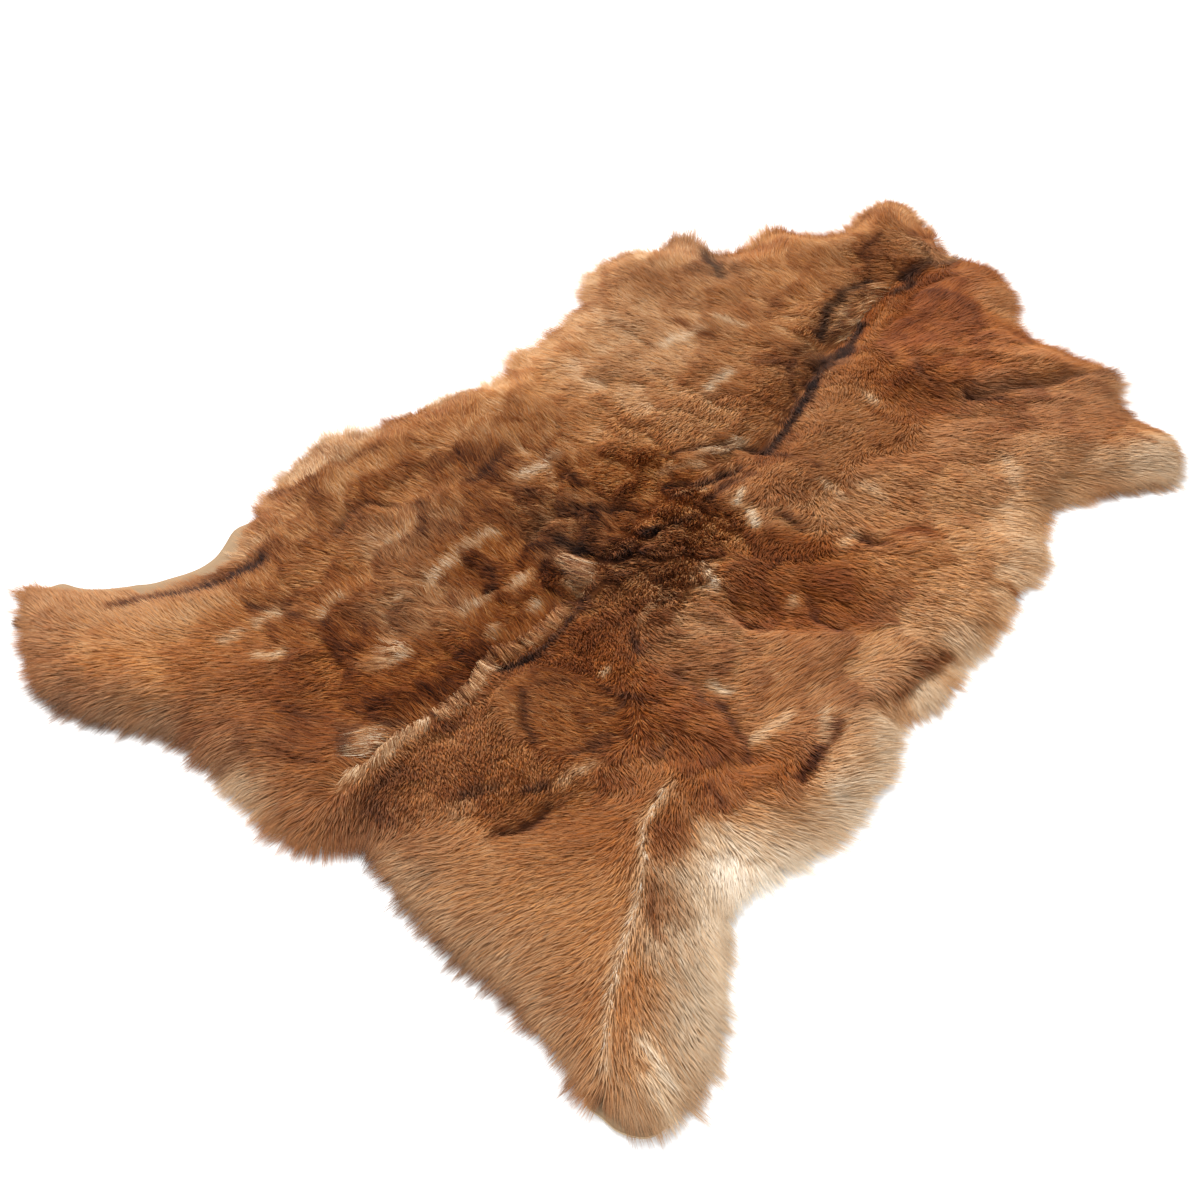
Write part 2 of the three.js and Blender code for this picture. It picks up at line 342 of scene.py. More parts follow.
# The coat's growth at the rim: how much further it reaches past the solid's edge, and how much it stands up
# more, in millimetres, round a line of pixels.
rimGrowth = [
    (5, 6, [(577, 304), (588, 278)]),
    (10, 9, [(600, 264), (640, 252), (660, 247)]),
    (20, 22, [(674, 238), (688, 238)]),
    (26, 26, [(704, 247), (718, 252), (736, 250)]),
    (12, 14, [(762, 240), (780, 230)]),
    (5, 8, [(800, 234), (820, 239)]),
    (14, 10, [(832, 238), (842, 232)]),
    (5, 10, [(855, 218), (880, 200)]),
    (-1, 6, [(905, 206), (922, 222)]),
    (9, 6, [(936, 232), (942, 240)]),
    (4, 6, [(955, 258), (990, 265), (1020, 300), (1024, 330)]),
    (6, 6, [(1024, 330), (1060, 350), (1108, 365)]),
    (11, 4, [(1122, 382), (1132, 408)]),
    (18, 13, [(560, 322), (520, 350), (505, 375), (440, 400), (360, 430), (320, 438)]),
    (6, 8, [(300, 455), (272, 490)]),
    (6, 4, [(258, 512), (250, 528)]),
    (5, 2, [(16, 595), (12, 618)]),
    (-1, 4, [(12, 640), (14, 665)]),
    (-5, 0, [(20, 684), (26, 698)]),
    (6, 0, [(50, 718), (100, 736)]),
    (-5, 0, [(175, 755), (200, 775), (235, 812)]),
    (8, 0, [(255, 832), (285, 855)]),
    (-4, 0, [(305, 862), (345, 861)]),
    (-3, 0, [(362, 870), (376, 888)]),
    (-8, 0, [(415, 940), (440, 965), (480, 998), (512, 1030)]),
    (-13, 0, [(540, 1058), (564, 1096)]),
    (9, 0, [(584, 1114), (602, 1126)]),
    (6, 0, [(690, 1126), (674, 1138)]),
    (4, 0, [(722, 1068), (712, 1095)]),
    (-12, 0, [(740, 958), (740, 985)]),
    (-1, 2, [(912, 730), (935, 722)]),
    (-7, 0, [(956, 700), (975, 668)]),
    (-7, 0, [(1145, 426), (1168, 432)]),
    (4, 0, [(1186, 450), (1190, 470), (1184, 492)]),
    (-14, 0, [(1062, 518), (1054, 540)]),
    (-14, 0, [(1030, 600), (1000, 650)]),
    (-12, 0, [(908, 745), (900, 780), (865, 830)]),
    (-5, 0, [(820, 866), (780, 882)]),
    (-4, 0, [(756, 896), (742, 910), (736, 928)]),
]


def rimChanges():
    # Further reach and lift of the hair at the rim, how far the hide's edge moves out, and how wide a
    # strip along it is bare.
    reach, lift, lip, bare = np.zeros((4, *planX.shape))
    for more, lifted, line in rimGrowth:
        cover = np.exp(-(lineFields(line)[0] / rimShape["growthReach"]) ** 2)
        reach += (more * mm - reach) * cover
        lift += (lifted * mm - lift) * cover
    for strip, past, further, line in bareSkin:
        cover = besideLine(line, past * mm)
        lip = np.maximum(lip, further * mm * cover)
        bare = np.maximum(bare, strip * mm * cover)
    return reach, lift, lip + np.minimum(reach + rimShape["holdsBack"], 0), bare


rimReach, rimLift, edgeShift, bareWidth = rimChanges()
rimDepth = softened(rimDepth + edgeShift, leather["edgeBlur"])
awayX, awayY = wayOut(rimDepth)
baseTop = coatBase(rimDepth)
coatDepth = rimDepth - bareWidth  # depth inside the edge of the coat itself
bareness = nearness(coatDepth, rimShape["coatFade"]) * smoothStep(bareWidth / rimShape["stripFade"])
print("rim laid out")

# The coat by region: how long its hairs are, how restlessly they lie and how much they differ, then its
# ground colours, each a pixel, reach in millimetres, tone (0 dark, 1 cream) and warmth (0 grey, 1 rust).
coatRegions = {
    # Along the near rim of the left hind shank, its darkest places are painted shade over the coat's own
    # olive tips.
    "leftHindShank": {"lengthMm": 13, "unrest": 0.25, "grain": 0.50, "places": [
        (50, 605, 24, .47, .56), (60, 635, 20, .42, .58), (110, 610, 24, .51, .58),
        (100, 655, 22, .50, .81), (40, 665, 16, .41, .56), (70, 690, 18, .34, .41),
        (170, 620, 22, .50, .61), (150, 665, 26, .50, .78), (120, 705, 20, .44, .38),
        (160, 725, 16, .34, .21), (110, 722, 12, .18, .11),
    ]},
    "leftThigh": {"lengthMm": 13, "unrest": 0.30, "grain": 0.58, "places": [
        (210, 660, 30, .44, .78), (260, 650, 26, .36, .76), (215, 705, 24, .36, .61),
        (260, 700, 28, .32, .76), (230, 745, 18, .33, .51), (300, 700, 26, .27, .76),
        (270, 740, 20, .33, .66), (330, 720, 24, .27, .81), (240, 780, 22, .59, .18),
        (255, 800, 14, .54, .26), (290, 765, 20, .35, .71), (310, 805, 24, .38, .66),
        (285, 830, 20, .45, .46), (340, 820, 22, .33, .56), (320, 848, 16, .40, .56),
        (345, 770, 20, .35, .76), (380, 840, 24, .32, .51),
    ]},
    "leftFlank": {"lengthMm": 12, "unrest": 0.80, "grain": 1.00, "places": [
        (280, 520, 22, .46, .66), (300, 545, 22, .38, .70), (315, 490, 24, .40, .66),
        (478, 438, 14, .56, .64), (252, 543, 10, .56, .50), (335, 455, 18, .53, .45),
        (360, 440, 14, .58, .45), (300, 470, 14, .56, .45), (385, 450, 22, .41, .72),
        (430, 430, 24, .44, .70), (480, 410, 24, .50, .72), (455, 400, 14, .60, .55),
        (390, 490, 24, .42, .76), (440, 475, 22, .34, .72), (480, 465, 20, .33, .70),
        (384, 540, 20, .50, .42), (400, 530, 16, .35, .60), (440, 520, 22, .35, .55),
        (350, 540, 22, .38, .70), (350, 585, 26, .34, .78), (300, 590, 24, .40, .72),
        (400, 570, 22, .40, .62), (470, 510, 22, .38, .75), (470, 560, 20, .32, .80),
        (390, 610, 22, .31, .50), (440, 615, 22, .41, .57), (300, 640, 26, .32, .80),
        (350, 640, 22, .30, .85), (420, 680, 24, .24, .88), (360, 690, 24, .29, .90),
        (465, 645, 22, .26, .88), (320, 675, 24, .30, .85),
    ]},
    "back": {"lengthMm": 9.5, "unrest": 1.00, "grain": 1.05, "places": [
        (510, 560, 24, .36, .85), (500, 620, 22, .32, .86), (535, 590, 20, .26, .84),
        (550, 520, 22, .31, .62), (590, 515, 20, .30, .62), (560, 550, 16, .25, .50),
        (630, 520, 20, .34, .80), (620, 560, 22, .30, .62), (660, 555, 22, .35, .62),
        (600, 590, 22, .34, .66), (700, 540, 24, .42, .77), (680, 585, 22, .42, .68),
        (640, 470, 24, .40, .85), (590, 470, 22, .39, .80), (560, 440, 22, .47, .72),
    ]},
    "rump": {"lengthMm": 8, "unrest": 0.40, "grain": 0.70, "places": [
        (620, 620, 24, .25, .80), (560, 645, 24, .30, .85), (600, 665, 24, .27, .90),
        (530, 680, 20, .33, .75), (500, 720, 24, .40, .68), (460, 745, 22, .33, .68),
        (430, 785, 24, .36, .68), (380, 790, 20, .26, .64), (480, 790, 24, .38, .74),
        (400, 815, 22, .33, .68), (530, 755, 24, .35, .74), (590, 760, 20, .36, .74),
        (560, 800, 22, .35, .74), (510, 810, 22, .31, .76),
    ]},
    "rumpPlate": {"lengthMm": 11, "unrest": 0.30, "grain": 1.20, "places": [
        (570, 712, 22, .38, .77), (600, 735, 20, .34, .85), (615, 690, 20, .30, .83),
        (560, 735, 18, .35, .81), (590, 700, 16, .37, .71), (640, 720, 16, .29, .89),
    ]},
    "rightFlank": {"lengthMm": 13, "unrest": 0.50, "grain": 0.34, "places": [
        (660, 635, 24, .43, .59), (710, 620, 24, .40, .57), (700, 660, 24, .45, .63),
        (760, 660, 26, .42, .65), (660, 690, 20, .31, .86), (690, 730, 24, .30, .84),
        (650, 770, 24, .39, .71), (720, 770, 22, .30, .80), (760, 690, 22, .44, .65),
        (800, 680, 24, .46, .63), (850, 650, 26, .49, .61), (790, 740, 20, .45, .67),
        (780, 775, 22, .30, .88), (830, 700, 20, .39, .57), (880, 690, 18, .43, .50),
        (760, 600, 24, .32, .84), (740, 560, 22, .28, .77), (790, 560, 22, .27, .84),
        (800, 610, 22, .27, .92), (840, 590, 24, .33, .92), (850, 620, 20, .33, .84),
        (830, 560, 22, .35, .86), (880, 570, 22, .43, .75), (900, 600, 26, .45, .63),
        (930, 640, 26, .50, .53), (930, 560, 26, .47, .73), (970, 590, 26, .57, .61),
        (980, 550, 24, .59, .63), (1010, 620, 18, .66, .49), (1020, 570, 20, .66, .43),
        (1035, 545, 16, .70, .41), (960, 650, 18, .82, .29), (925, 690, 14, .64, .23),
        (880, 520, 24, .46, .67), (940, 510, 26, .51, .62), (1010, 520, 26, .58, .57),
        (830, 510, 22, .49, .61), (790, 500, 20, .41, .61),
    ]},
    "belly": {"lengthMm": 15, "unrest": 0.35, "grain": 0.40, "places": [
        (885, 735, 18, .74, .31), (870, 770, 20, .73, .29), (850, 730, 16, .45, .46),
        (840, 800, 22, .74, .28), (800, 820, 20, .71, .33), (800, 860, 18, .82, .25),
        (760, 845, 18, .76, .31), (735, 880, 20, .92, .33), (750, 895, 14, .84, .25),
        (850, 760, 16, .52, .58), (800, 790, 20, .48, .65), (760, 810, 20, .50, .59),
        (720, 850, 16, .78, .38), (740, 790, 20, .37, .73),
    ]},
    "rightHindLeg": {"lengthMm": 13, "unrest": 0.15, "grain": 0.46, "places": [
        (430, 840, 24, .45, .53), (480, 850, 26, .49, .63), (540, 850, 28, .42, .65),
        (600, 840, 26, .38, .73), (640, 800, 22, .37, .71), (420, 880, 16, .37, .26),
        (470, 900, 26, .51, .59), (540, 900, 28, .52, .65), (600, 900, 26, .50, .69),
        (470, 940, 18, .45, .31), (530, 960, 24, .49, .49), (590, 960, 24, .51, .67),
        (560, 1010, 20, .45, .47), (600, 1020, 18, .47, .71), (580, 1070, 18, .47, .51),
        (545, 1040, 14, .37, .41), (664, 838, 16, .25, .74), (665, 900, 16, .34, .50),
        (642, 985, 16, .44, .72), (640, 1040, 16, .49, .63), (640, 1090, 18, .52, .49),
        (625, 1120, 12, .46, .16), (700, 1095, 14, .52, .28),
    ]},
    "rightHindSide": {"lengthMm": 13, "unrest": 0.12, "grain": 0.20, "places": [
        (690, 880, 20, .66, .18), (720, 920, 22, .66, .10), (682, 940, 22, .60, .20),
        (695, 985, 24, .66, .12), (725, 1000, 18, .66, .12), (690, 1040, 22, .63, .16),
        (715, 1060, 16, .66, .20), (675, 1105, 20, .60, .22),
    ]},
    "neck": {"lengthMm": 12, "unrest": 0.62, "grain": 0.52, "places": [
        (600, 290, 22, .51, .56), (620, 265, 20, .51, .56), (655, 260, 20, .51, .56),
        (685, 245, 18, .44, .50), (600, 330, 24, .56, .56), (640, 310, 24, .55, .56),
        (680, 290, 22, .42, .58), (720, 270, 20, .37, .48), (740, 290, 22, .47, .64),
        (770, 255, 22, .45, .68), (760, 300, 22, .41, .64), (800, 280, 24, .45, .70),
        (830, 250, 24, .50, .68), (810, 310, 22, .53, .70), (860, 225, 22, .44, .68),
        (890, 210, 18, .45, .62), (900, 235, 20, .39, .68), (875, 260, 20, .37, .70),
        (925, 245, 14, .42, .56), (560, 350, 24, .53, .64), (530, 380, 24, .56, .72),
        (600, 370, 26, .59, .58), (650, 350, 26, .58, .56), (650, 400, 26, .55, .64),
        (580, 410, 24, .43, .68), (700, 340, 22, .51, .58), (700, 400, 26, .51, .66),
        (740, 350, 22, .48, .68), (760, 390, 22, .43, .70), (720, 430, 24, .46, .66),
        (620, 430, 24, .46, .72), (780, 360, 20, .38, .64),
    ]},
    "rightShoulder": {"lengthMm": 12, "unrest": 0.42, "grain": 0.26, "places": [
        (940, 285, 22, .25, .87), (970, 275, 20, .31, .75), (1000, 300, 20, .44, .65),
        (960, 320, 24, .31, .86), (910, 310, 20, .28, .91), (900, 340, 22, .26, .93),
        (870, 350, 20, .39, .75), (1000, 340, 22, .33, .79), (950, 355, 22, .32, .87),
        (1040, 355, 22, .42, .72), (900, 380, 22, .29, .83), (860, 400, 20, .43, .67),
        (830, 420, 22, .45, .63), (920, 410, 20, .34, .77), (1000, 410, 26, .36, .63),
        (1060, 420, 26, .38, .60), (960, 440, 26, .42, .60), (890, 450, 26, .39, .69),
        (830, 460, 24, .43, .64), (780, 450, 20, .37, .69), (780, 475, 20, .40, .65),
        (850, 490, 24, .47, .60), (920, 480, 26, .46, .65), (1000, 470, 26, .48, .58),
        (1060, 470, 24, .51, .51), (1100, 400, 18, .35, .54), (1110, 430, 20, .42, .66),
        (1124, 396, 10, .54, .45), (1016, 300, 9, .56, .55), (1000, 268, 8, .50, .60),
    ]},
    "rightForeleg": {"lengthMm": 12, "unrest": 0.20, "grain": 0.20, "places": [
        (1110, 465, 18, .55, .36), (1150, 458, 18, .65, .24), (1172, 470, 14, .62, .22),
        (1140, 478, 16, .59, .32), (1100, 490, 16, .48, .48), (1060, 500, 16, .53, .43),
        (1175, 448, 10, .59, .31),
    ]},
}

# Markings drawn over the ground colours: pale ones are the coat's own colour, dark ones are painted shade in
# its creases and gaps. Width in millimetres, tone, warmth, how fully it covers, and pixels of its line.
marksAndCreaseShade = [
    # Dark streaks of painted shade in the folds of the neck and along the spine
    (5, .05, .35, .87, [(953, 259), (936, 258), (918, 265), (903, 275)]),
    (4, .10, .35, .80, [(914, 279), (904, 286), (893, 291)]),
    (6, .10, .10, .80, [(872, 280), (850, 288), (832, 305), (822, 335)]),
    (4, .66, .30, .35, [(880, 292), (858, 300), (842, 316), (838, 334)]),
    (5, .03, .30, .92, [(862, 322), (848, 345), (828, 357), (810, 387), (788, 422), (768, 447)]),
    (8, .50, .62, .50, [(872, 336), (880, 318), (894, 300)]),
    (9, .04, .35, .90, [(846, 349), (834, 358), (820, 366)]),
    (3, .12, .50, .64, [(800, 350), (790, 370), (797, 390)]),
    (3, .08, .35, .68, [(762, 448), (735, 443), (700, 443), (665, 452)]),
    (4, .08, .35, .78, [(742, 465), (705, 478), (668, 484)]),
    (3, .14, .50, .64, [(765, 450), (800, 455), (822, 466)]),
    (4, .08, .35, .74, [(645, 530), (675, 522), (695, 512)]),
    (5, .10, .05, .70, [(706, 254), (716, 264), (724, 276)]),
    (3, .16, .60, .64, [(872, 270), (865, 250), (885, 232)]),
    (4, .14, .60, .66, [(682, 322), (700, 332), (715, 336)]),
    # Dark streaks of painted shade in the creases of the right shoulder and foreleg
    (6, .24, .42, .70, [(965, 392), (1000, 384), (1040, 382), (1080, 372), (1108, 370)]),
    (3, .10, .50, .70, [(962, 388), (972, 397), (1000, 398)]),
    (6, .50, .66, .38, [(925, 352), (980, 352), (1040, 362)]),
    (5, .48, .50, .42, [(1050, 392), (1085, 398), (1115, 404)]),
    (3, .16, .55, .64, [(912, 352), (918, 372), (935, 385)]),
    (3, .14, .60, .64, [(1122, 434), (1135, 436), (1150, 441)]),
    (4, .24, .25, .64, [(1100, 497), (1135, 486), (1165, 482)]),
    (3, .22, .80, .55, [(985, 432), (1005, 430), (1020, 428)]),
    (3, .20, .80, .55, [(870, 408), (888, 414)]),
    # Dark streaks of painted shade in the creases of the right flank
    (3, .10, .50, .74, [(780, 510), (795, 518), (806, 528)]),
    (5, .10, .60, .84, [(850, 532), (870, 540), (884, 540)]),
    (6, .22, .92, .66, [(890, 532), (915, 528), (935, 532)]),
    (4, .16, .85, .64, [(733, 600), (738, 618), (755, 632)]),
    (4, .14, .80, .69, [(805, 595), (812, 615), (825, 625), (840, 632)]),
    (5, .20, .60, .74, [(945, 652), (925, 662), (905, 682), (893, 695)]),
    (3, .20, .60, .74, [(1003, 583), (1014, 592), (1022, 606)]),
    (5, .13, .75, .80, [(834, 722), (825, 738), (812, 755), (800, 772)]),
    (3, .10, .60, .83, [(717, 703), (728, 720), (741, 738), (744, 756)]),
    (4, .12, .50, .78, [(632, 630), (636, 646)]),
    (4, .16, .50, .69, [(672, 672), (688, 684), (698, 698)]),
    (4, .14, .75, .69, [(708, 782), (716, 792), (722, 804)]),
    # Dark streaks of painted shade in the creases of the back and the rump
    (3, .10, .40, .75, [(586, 590), (576, 609), (558, 630), (538, 650)]),
    (4, .02, .30, .96, [(530, 655), (512, 662), (494, 667)]),
    (5, .14, .45, .64, [(532, 538), (548, 512), (585, 506), (622, 506)]),
    (6, .07, .30, .78, [(560, 537), (572, 545), (584, 548)]),
    (5, .12, .55, .64, [(555, 478), (572, 470), (582, 486)]),
    (5, .16, .50, .64, [(470, 482), (488, 470), (500, 456), (512, 448)]),
    (4, .14, .50, .69, [(336, 536), (350, 515), (372, 501), (400, 504)]),
    (5, .22, .45, .55, [(400, 504), (430, 512), (455, 512)]),
    (6, .20, .60, .66, [(340, 466), (375, 450), (385, 444)]),
    (3, .22, .70, .55, [(500, 425), (520, 418), (535, 430)]),
    (4, .12, .45, .74, [(255, 606), (270, 611), (285, 606)]),
    (5, .18, .60, .60, [(290, 612), (310, 618), (330, 622)]),
    (5, .16, .60, .60, [(490, 565), (498, 580), (488, 596)]),
    (5, .13, .60, .78, [(345, 722), (346, 738), (352, 750), (362, 756)]),
    (7, .16, .55, .64, [(395, 768), (375, 785), (372, 805), (385, 825)]),
    (3, .12, .50, .68, [(524, 690), (528, 708), (528, 724), (536, 738)]),
    (4, .12, .40, .74, [(525, 786), (536, 786), (546, 782)]),
    (5, .16, .35, .60, [(462, 794), (480, 788), (495, 786)]),
    (4, .12, .55, .82, [(498, 832), (522, 828), (540, 818), (552, 803)]),
    (4, .16, .60, .55, [(300, 712), (318, 718), (332, 716)]),
    (6, .22, .60, .50, [(246, 742), (256, 758), (262, 772)]),
    (4, .20, .70, .51, [(268, 745), (285, 752), (300, 760), (318, 760)]),
    (3, .14, .55, .55, [(592, 752), (610, 742), (628, 732)]),
    (5, .10, .40, .55, [(660, 580), (668, 596), (655, 604)]),
    (6, .10, .50, .70, [(750, 472), (720, 486), (712, 500)]),
    (5, .22, .65, .40, [(384, 488), (415, 474), (448, 464), (485, 458)]),
    (6, .20, .60, .45, [(480, 484), (488, 470), (496, 458)]),
    # Dark streaks and rims of the hind legs: painted shade in their creases and along their near rims, over
    # the coat's own olive tips there
    (9, .02, .40, .97, [(260, 564), (242, 572), (221, 583), (196, 592), (170, 597)]),
    (5, .08, .50, .85, [(170, 597), (150, 599), (134, 603), (112, 606)]),
    (5, .18, .10, .60, [(35, 686), (60, 703), (95, 722), (125, 728), (150, 733)]),
    (6, .22, .20, .55, [(160, 728), (185, 742), (210, 760), (225, 768)]),
    (3, .28, .80, .46, [(40, 660), (60, 655), (85, 650)]),
    (7, .15, .20, .78, [(365, 850), (398, 893), (445, 940), (475, 966), (513, 996)]),
    (9, .59, .34, .54, [(385, 842), (422, 893), (465, 935), (503, 963), (541, 1008), (566, 1050)]),
    (5, .24, .30, .69, [(513, 996), (532, 1020), (550, 1046), (580, 1084)]),
    (4, .22, .60, .64, [(650, 880), (650, 905), (656, 930)]),
    (3, .34, .60, .30, [(664, 935), (675, 965), (684, 990)]),
    (3, .24, .20, .64, [(601, 1090), (606, 1108), (618, 1122), (640, 1136)]),
    (5, .66, .50, .68, [(404, 416), (435, 404), (470, 392)]),
    # Dark V lines of painted shade between tongues of hair on the rump's plate
    (3, .10, .50, .70, [(540, 687), (555, 682), (570, 682)]),
    (3, .12, .60, .65, [(605, 689), (625, 693), (655, 699)]),
    (3, .12, .40, .65, [(608, 712), (621, 708), (625, 701)]),
    (3, .14, .50, .60, [(597, 741), (612, 734)]),
    (3, .14, .40, .60, [(578, 753), (594, 746)]),
    (3, .14, .50, .60, [(652, 753), (663, 744), (668, 734)]),
    # Pale herringbone parting over the rump, with dark lines of painted shade beside it
    (5, .46, .62, .42,
     [(574, 596), (552, 624), (535, 638), (517, 648), (498, 654), (486, 666), (474, 690)]),
    (6, .60, .50, .60,
     [(454, 705), (423, 724), (405, 733), (389, 745), (377, 761), (361, 773), (343, 785)]),
    (9, .56, .40, .55, [(362, 740), (376, 730), (388, 728)]),
    (4, .10, .50, .85, [(350, 752), (350, 736), (362, 724)]),
    (3, .10, .40, .55, [(385, 724), (394, 726), (400, 720)]),
    # Pale ridges of the hind legs
    (4.5, .68, .34, .60, [
        (672, 780), (660, 800), (642, 822), (643, 852), (641, 880), (633, 918), (621, 950), (612, 980),
        (607, 1020), (604, 1070),
    ]),
    (8, .62, .56, .50, [(232, 598), (208, 608), (180, 616), (150, 628), (120, 640), (80, 650)]),
    (6, .84, .30, .70, [(640, 1035), (654, 1056), (668, 1082)]),
    (5, .82, .30, .65, [(648, 1078), (660, 1096), (668, 1112)]),
    (7, .82, .34, .55, [(700, 900), (712, 950), (722, 1000)]),
    # Pale tufts
    (4, .74, .10, .60, [(534, 610), (541, 602)]),
    (6, .58, .45, .50, [(364, 666), (378, 668), (392, 665)]),
    (5, .86, .28, .80, [(394, 663), (404, 660), (411, 655)]),
    (6, .82, .30, .72, [(262, 622), (272, 618), (280, 612)]),
    (5, .78, .30, .64, [(228, 640), (240, 634)]),
    (5, .80, .26, .68, [(262, 654), (276, 655), (284, 650)]),
    (5, .74, .30, .59, [(322, 614), (334, 606), (344, 598)]),
    (5, .78, .30, .50, [(396, 600), (404, 594), (412, 592)]),
    (5, .82, .28, .72, [(430, 582), (442, 570), (456, 560)]),
    (5, .78, .30, .68, [(462, 550), (478, 540), (494, 532)]),
    (7, .82, .20, .72, [(522, 474), (538, 465), (556, 456)]),
    (6, .84, .26, .62, [(514, 590), (520, 582), (524, 576)]),
    (5, .82, .28, .70, [(468, 609), (480, 606), (492, 598)]),
    (4, .80, .28, .66, [(497, 625), (496, 633), (490, 640)]),
    (4, .74, .08, .59, [(560, 562), (575, 574), (592, 572)]),
    (4, .72, .13, .55, [(566, 580), (580, 586)]),
    (6, .86, .16, .72, [(702, 562), (708, 570), (714, 580)]),
    (4, .80, .33, .59, [(690, 572), (696, 582)]),
    (4, .88, .08, .77, [(738, 502), (742, 490)]),
    (5, .88, .08, .77, [(754, 510), (758, 524)]),
    (6, .84, .16, .72, [(712, 388), (722, 378), (734, 370)]),
    (6, .80, .28, .64, [(664, 346), (682, 336), (700, 330)]),
    (5, .76, .26, .55, [(716, 318), (735, 322), (750, 326)]),
    (5, .72, .33, .47, [(598, 312), (620, 318), (640, 330)]),
    (5, .78, .33, .64, [(840, 546), (847, 538), (852, 530)]),
    (5, .78, .18, .64, [(868, 392), (876, 398)]),
    (4, .74, .08, .64, [(706, 452), (726, 444), (746, 440)]),
    (4, .66, .15, .55, [(662, 470), (680, 464), (700, 462)]),
    (4, .66, .20, .55, [(675, 494), (694, 488), (706, 484)]),
    (3, .84, .18, .68, [(602, 672), (608, 668)]),
    (4, .82, .08, .64, [(708, 684), (724, 692)]),
    (6, .74, .33, .64, [(752, 738), (766, 728), (784, 716)]),
    (5, .78, .18, .64, [(824, 712), (822, 726), (820, 738)]),
    (4, .76, .23, .59, [(792, 596), (788, 604)]),
    (5, .68, .40, .51, [(858, 480), (872, 488), (884, 498)]),
    (4, .72, .28, .51, [(822, 478), (834, 486), (842, 496)]),
    (5, .70, .23, .51, [(560, 782), (576, 770), (594, 762)]),
    (5, .62, .40, .42, [(460, 818), (450, 806), (470, 800)]),
    (5, .72, .33, .51, [(640, 620), (655, 602), (668, 596)]),
    (8, .90, .32, .68, [(722, 868), (738, 880), (742, 896)]),
    (5, .80, .26, .59, [(724, 820), (728, 840), (726, 856)]),
    (5, .80, .18, .51, [(828, 790), (846, 784), (866, 780)]),
    (6, .72, .18, .47, [(1000, 455), (1012, 470), (1008, 486)]),
    (5, .72, .26, .51, [(1130, 466), (1150, 464), (1170, 462)]),
]

# How places and markings are laid over each other.
coatMix = {
    "farShare": 1e-5,  # weight that a place keeps far off, so that no spot is without colour
    "ragged": ((0.35, 11, 5 * mm), (0.25, 12, 11 * mm)),  # shares, seeds and cells of mottling
    # Dark marks are painted shade of gaps and creases, and the coat dips along them.
    "shadeUnder": 0.3,  # under this tone a marking is a gap in the coat
    "darkDent": 3.0 * mm,  # how deep the coat dips along such a gap
}


def coatFields():
    # Tone, warmth, hair length, unrest and grain over the plan: each place of each region weighs in by a
    # bell round it. The marks, pale ones and dark ones of painted shade, are then laid over tone and warmth,
    # with edges broken up by mottling; the coat dips along the dark ones.
    total = np.full(planX.shape, tiny)
    tone, warmth, length, unrest, grain, dents = np.zeros((6, *planX.shape))
    for region in coatRegions.values():
        for px, py, reach, placeTone, placeWarmth in region["places"]:
            x, y = onCoat([(px, py)])[0]
            far = np.hypot(planX - x, planY - y) / (reach * mm)
            weight = np.exp(-far * far) + coatMix["farShare"] / (1 + far**2)
            total += weight
            tone += weight * placeTone
            warmth += weight * placeWarmth
            length += weight * region["lengthMm"] * mm
            unrest += weight * region["unrest"]
            grain += weight * region["grain"]
    tone /= total
    warmth /= total
    ragged = mottled(1, coatMix["ragged"])
    for width, markTone, markWarmth, strength, line in marksAndCreaseShade:
        far = lineFields(line)[0] / (width * mm * ragged)
        cover = strength * np.exp(-far * far)
        tone += (markTone - tone) * cover
        warmth += (markWarmth - warmth) * cover
        dents -= coatMix["darkDent"] * cover * (markTone < coatMix["shadeUnder"])
    return tone, warmth, length / total, unrest / total, grain / total, dents


toneField, warmthField, lengthField, unrestField, grainField, dentField = coatFields()
print("coat colours laid out")

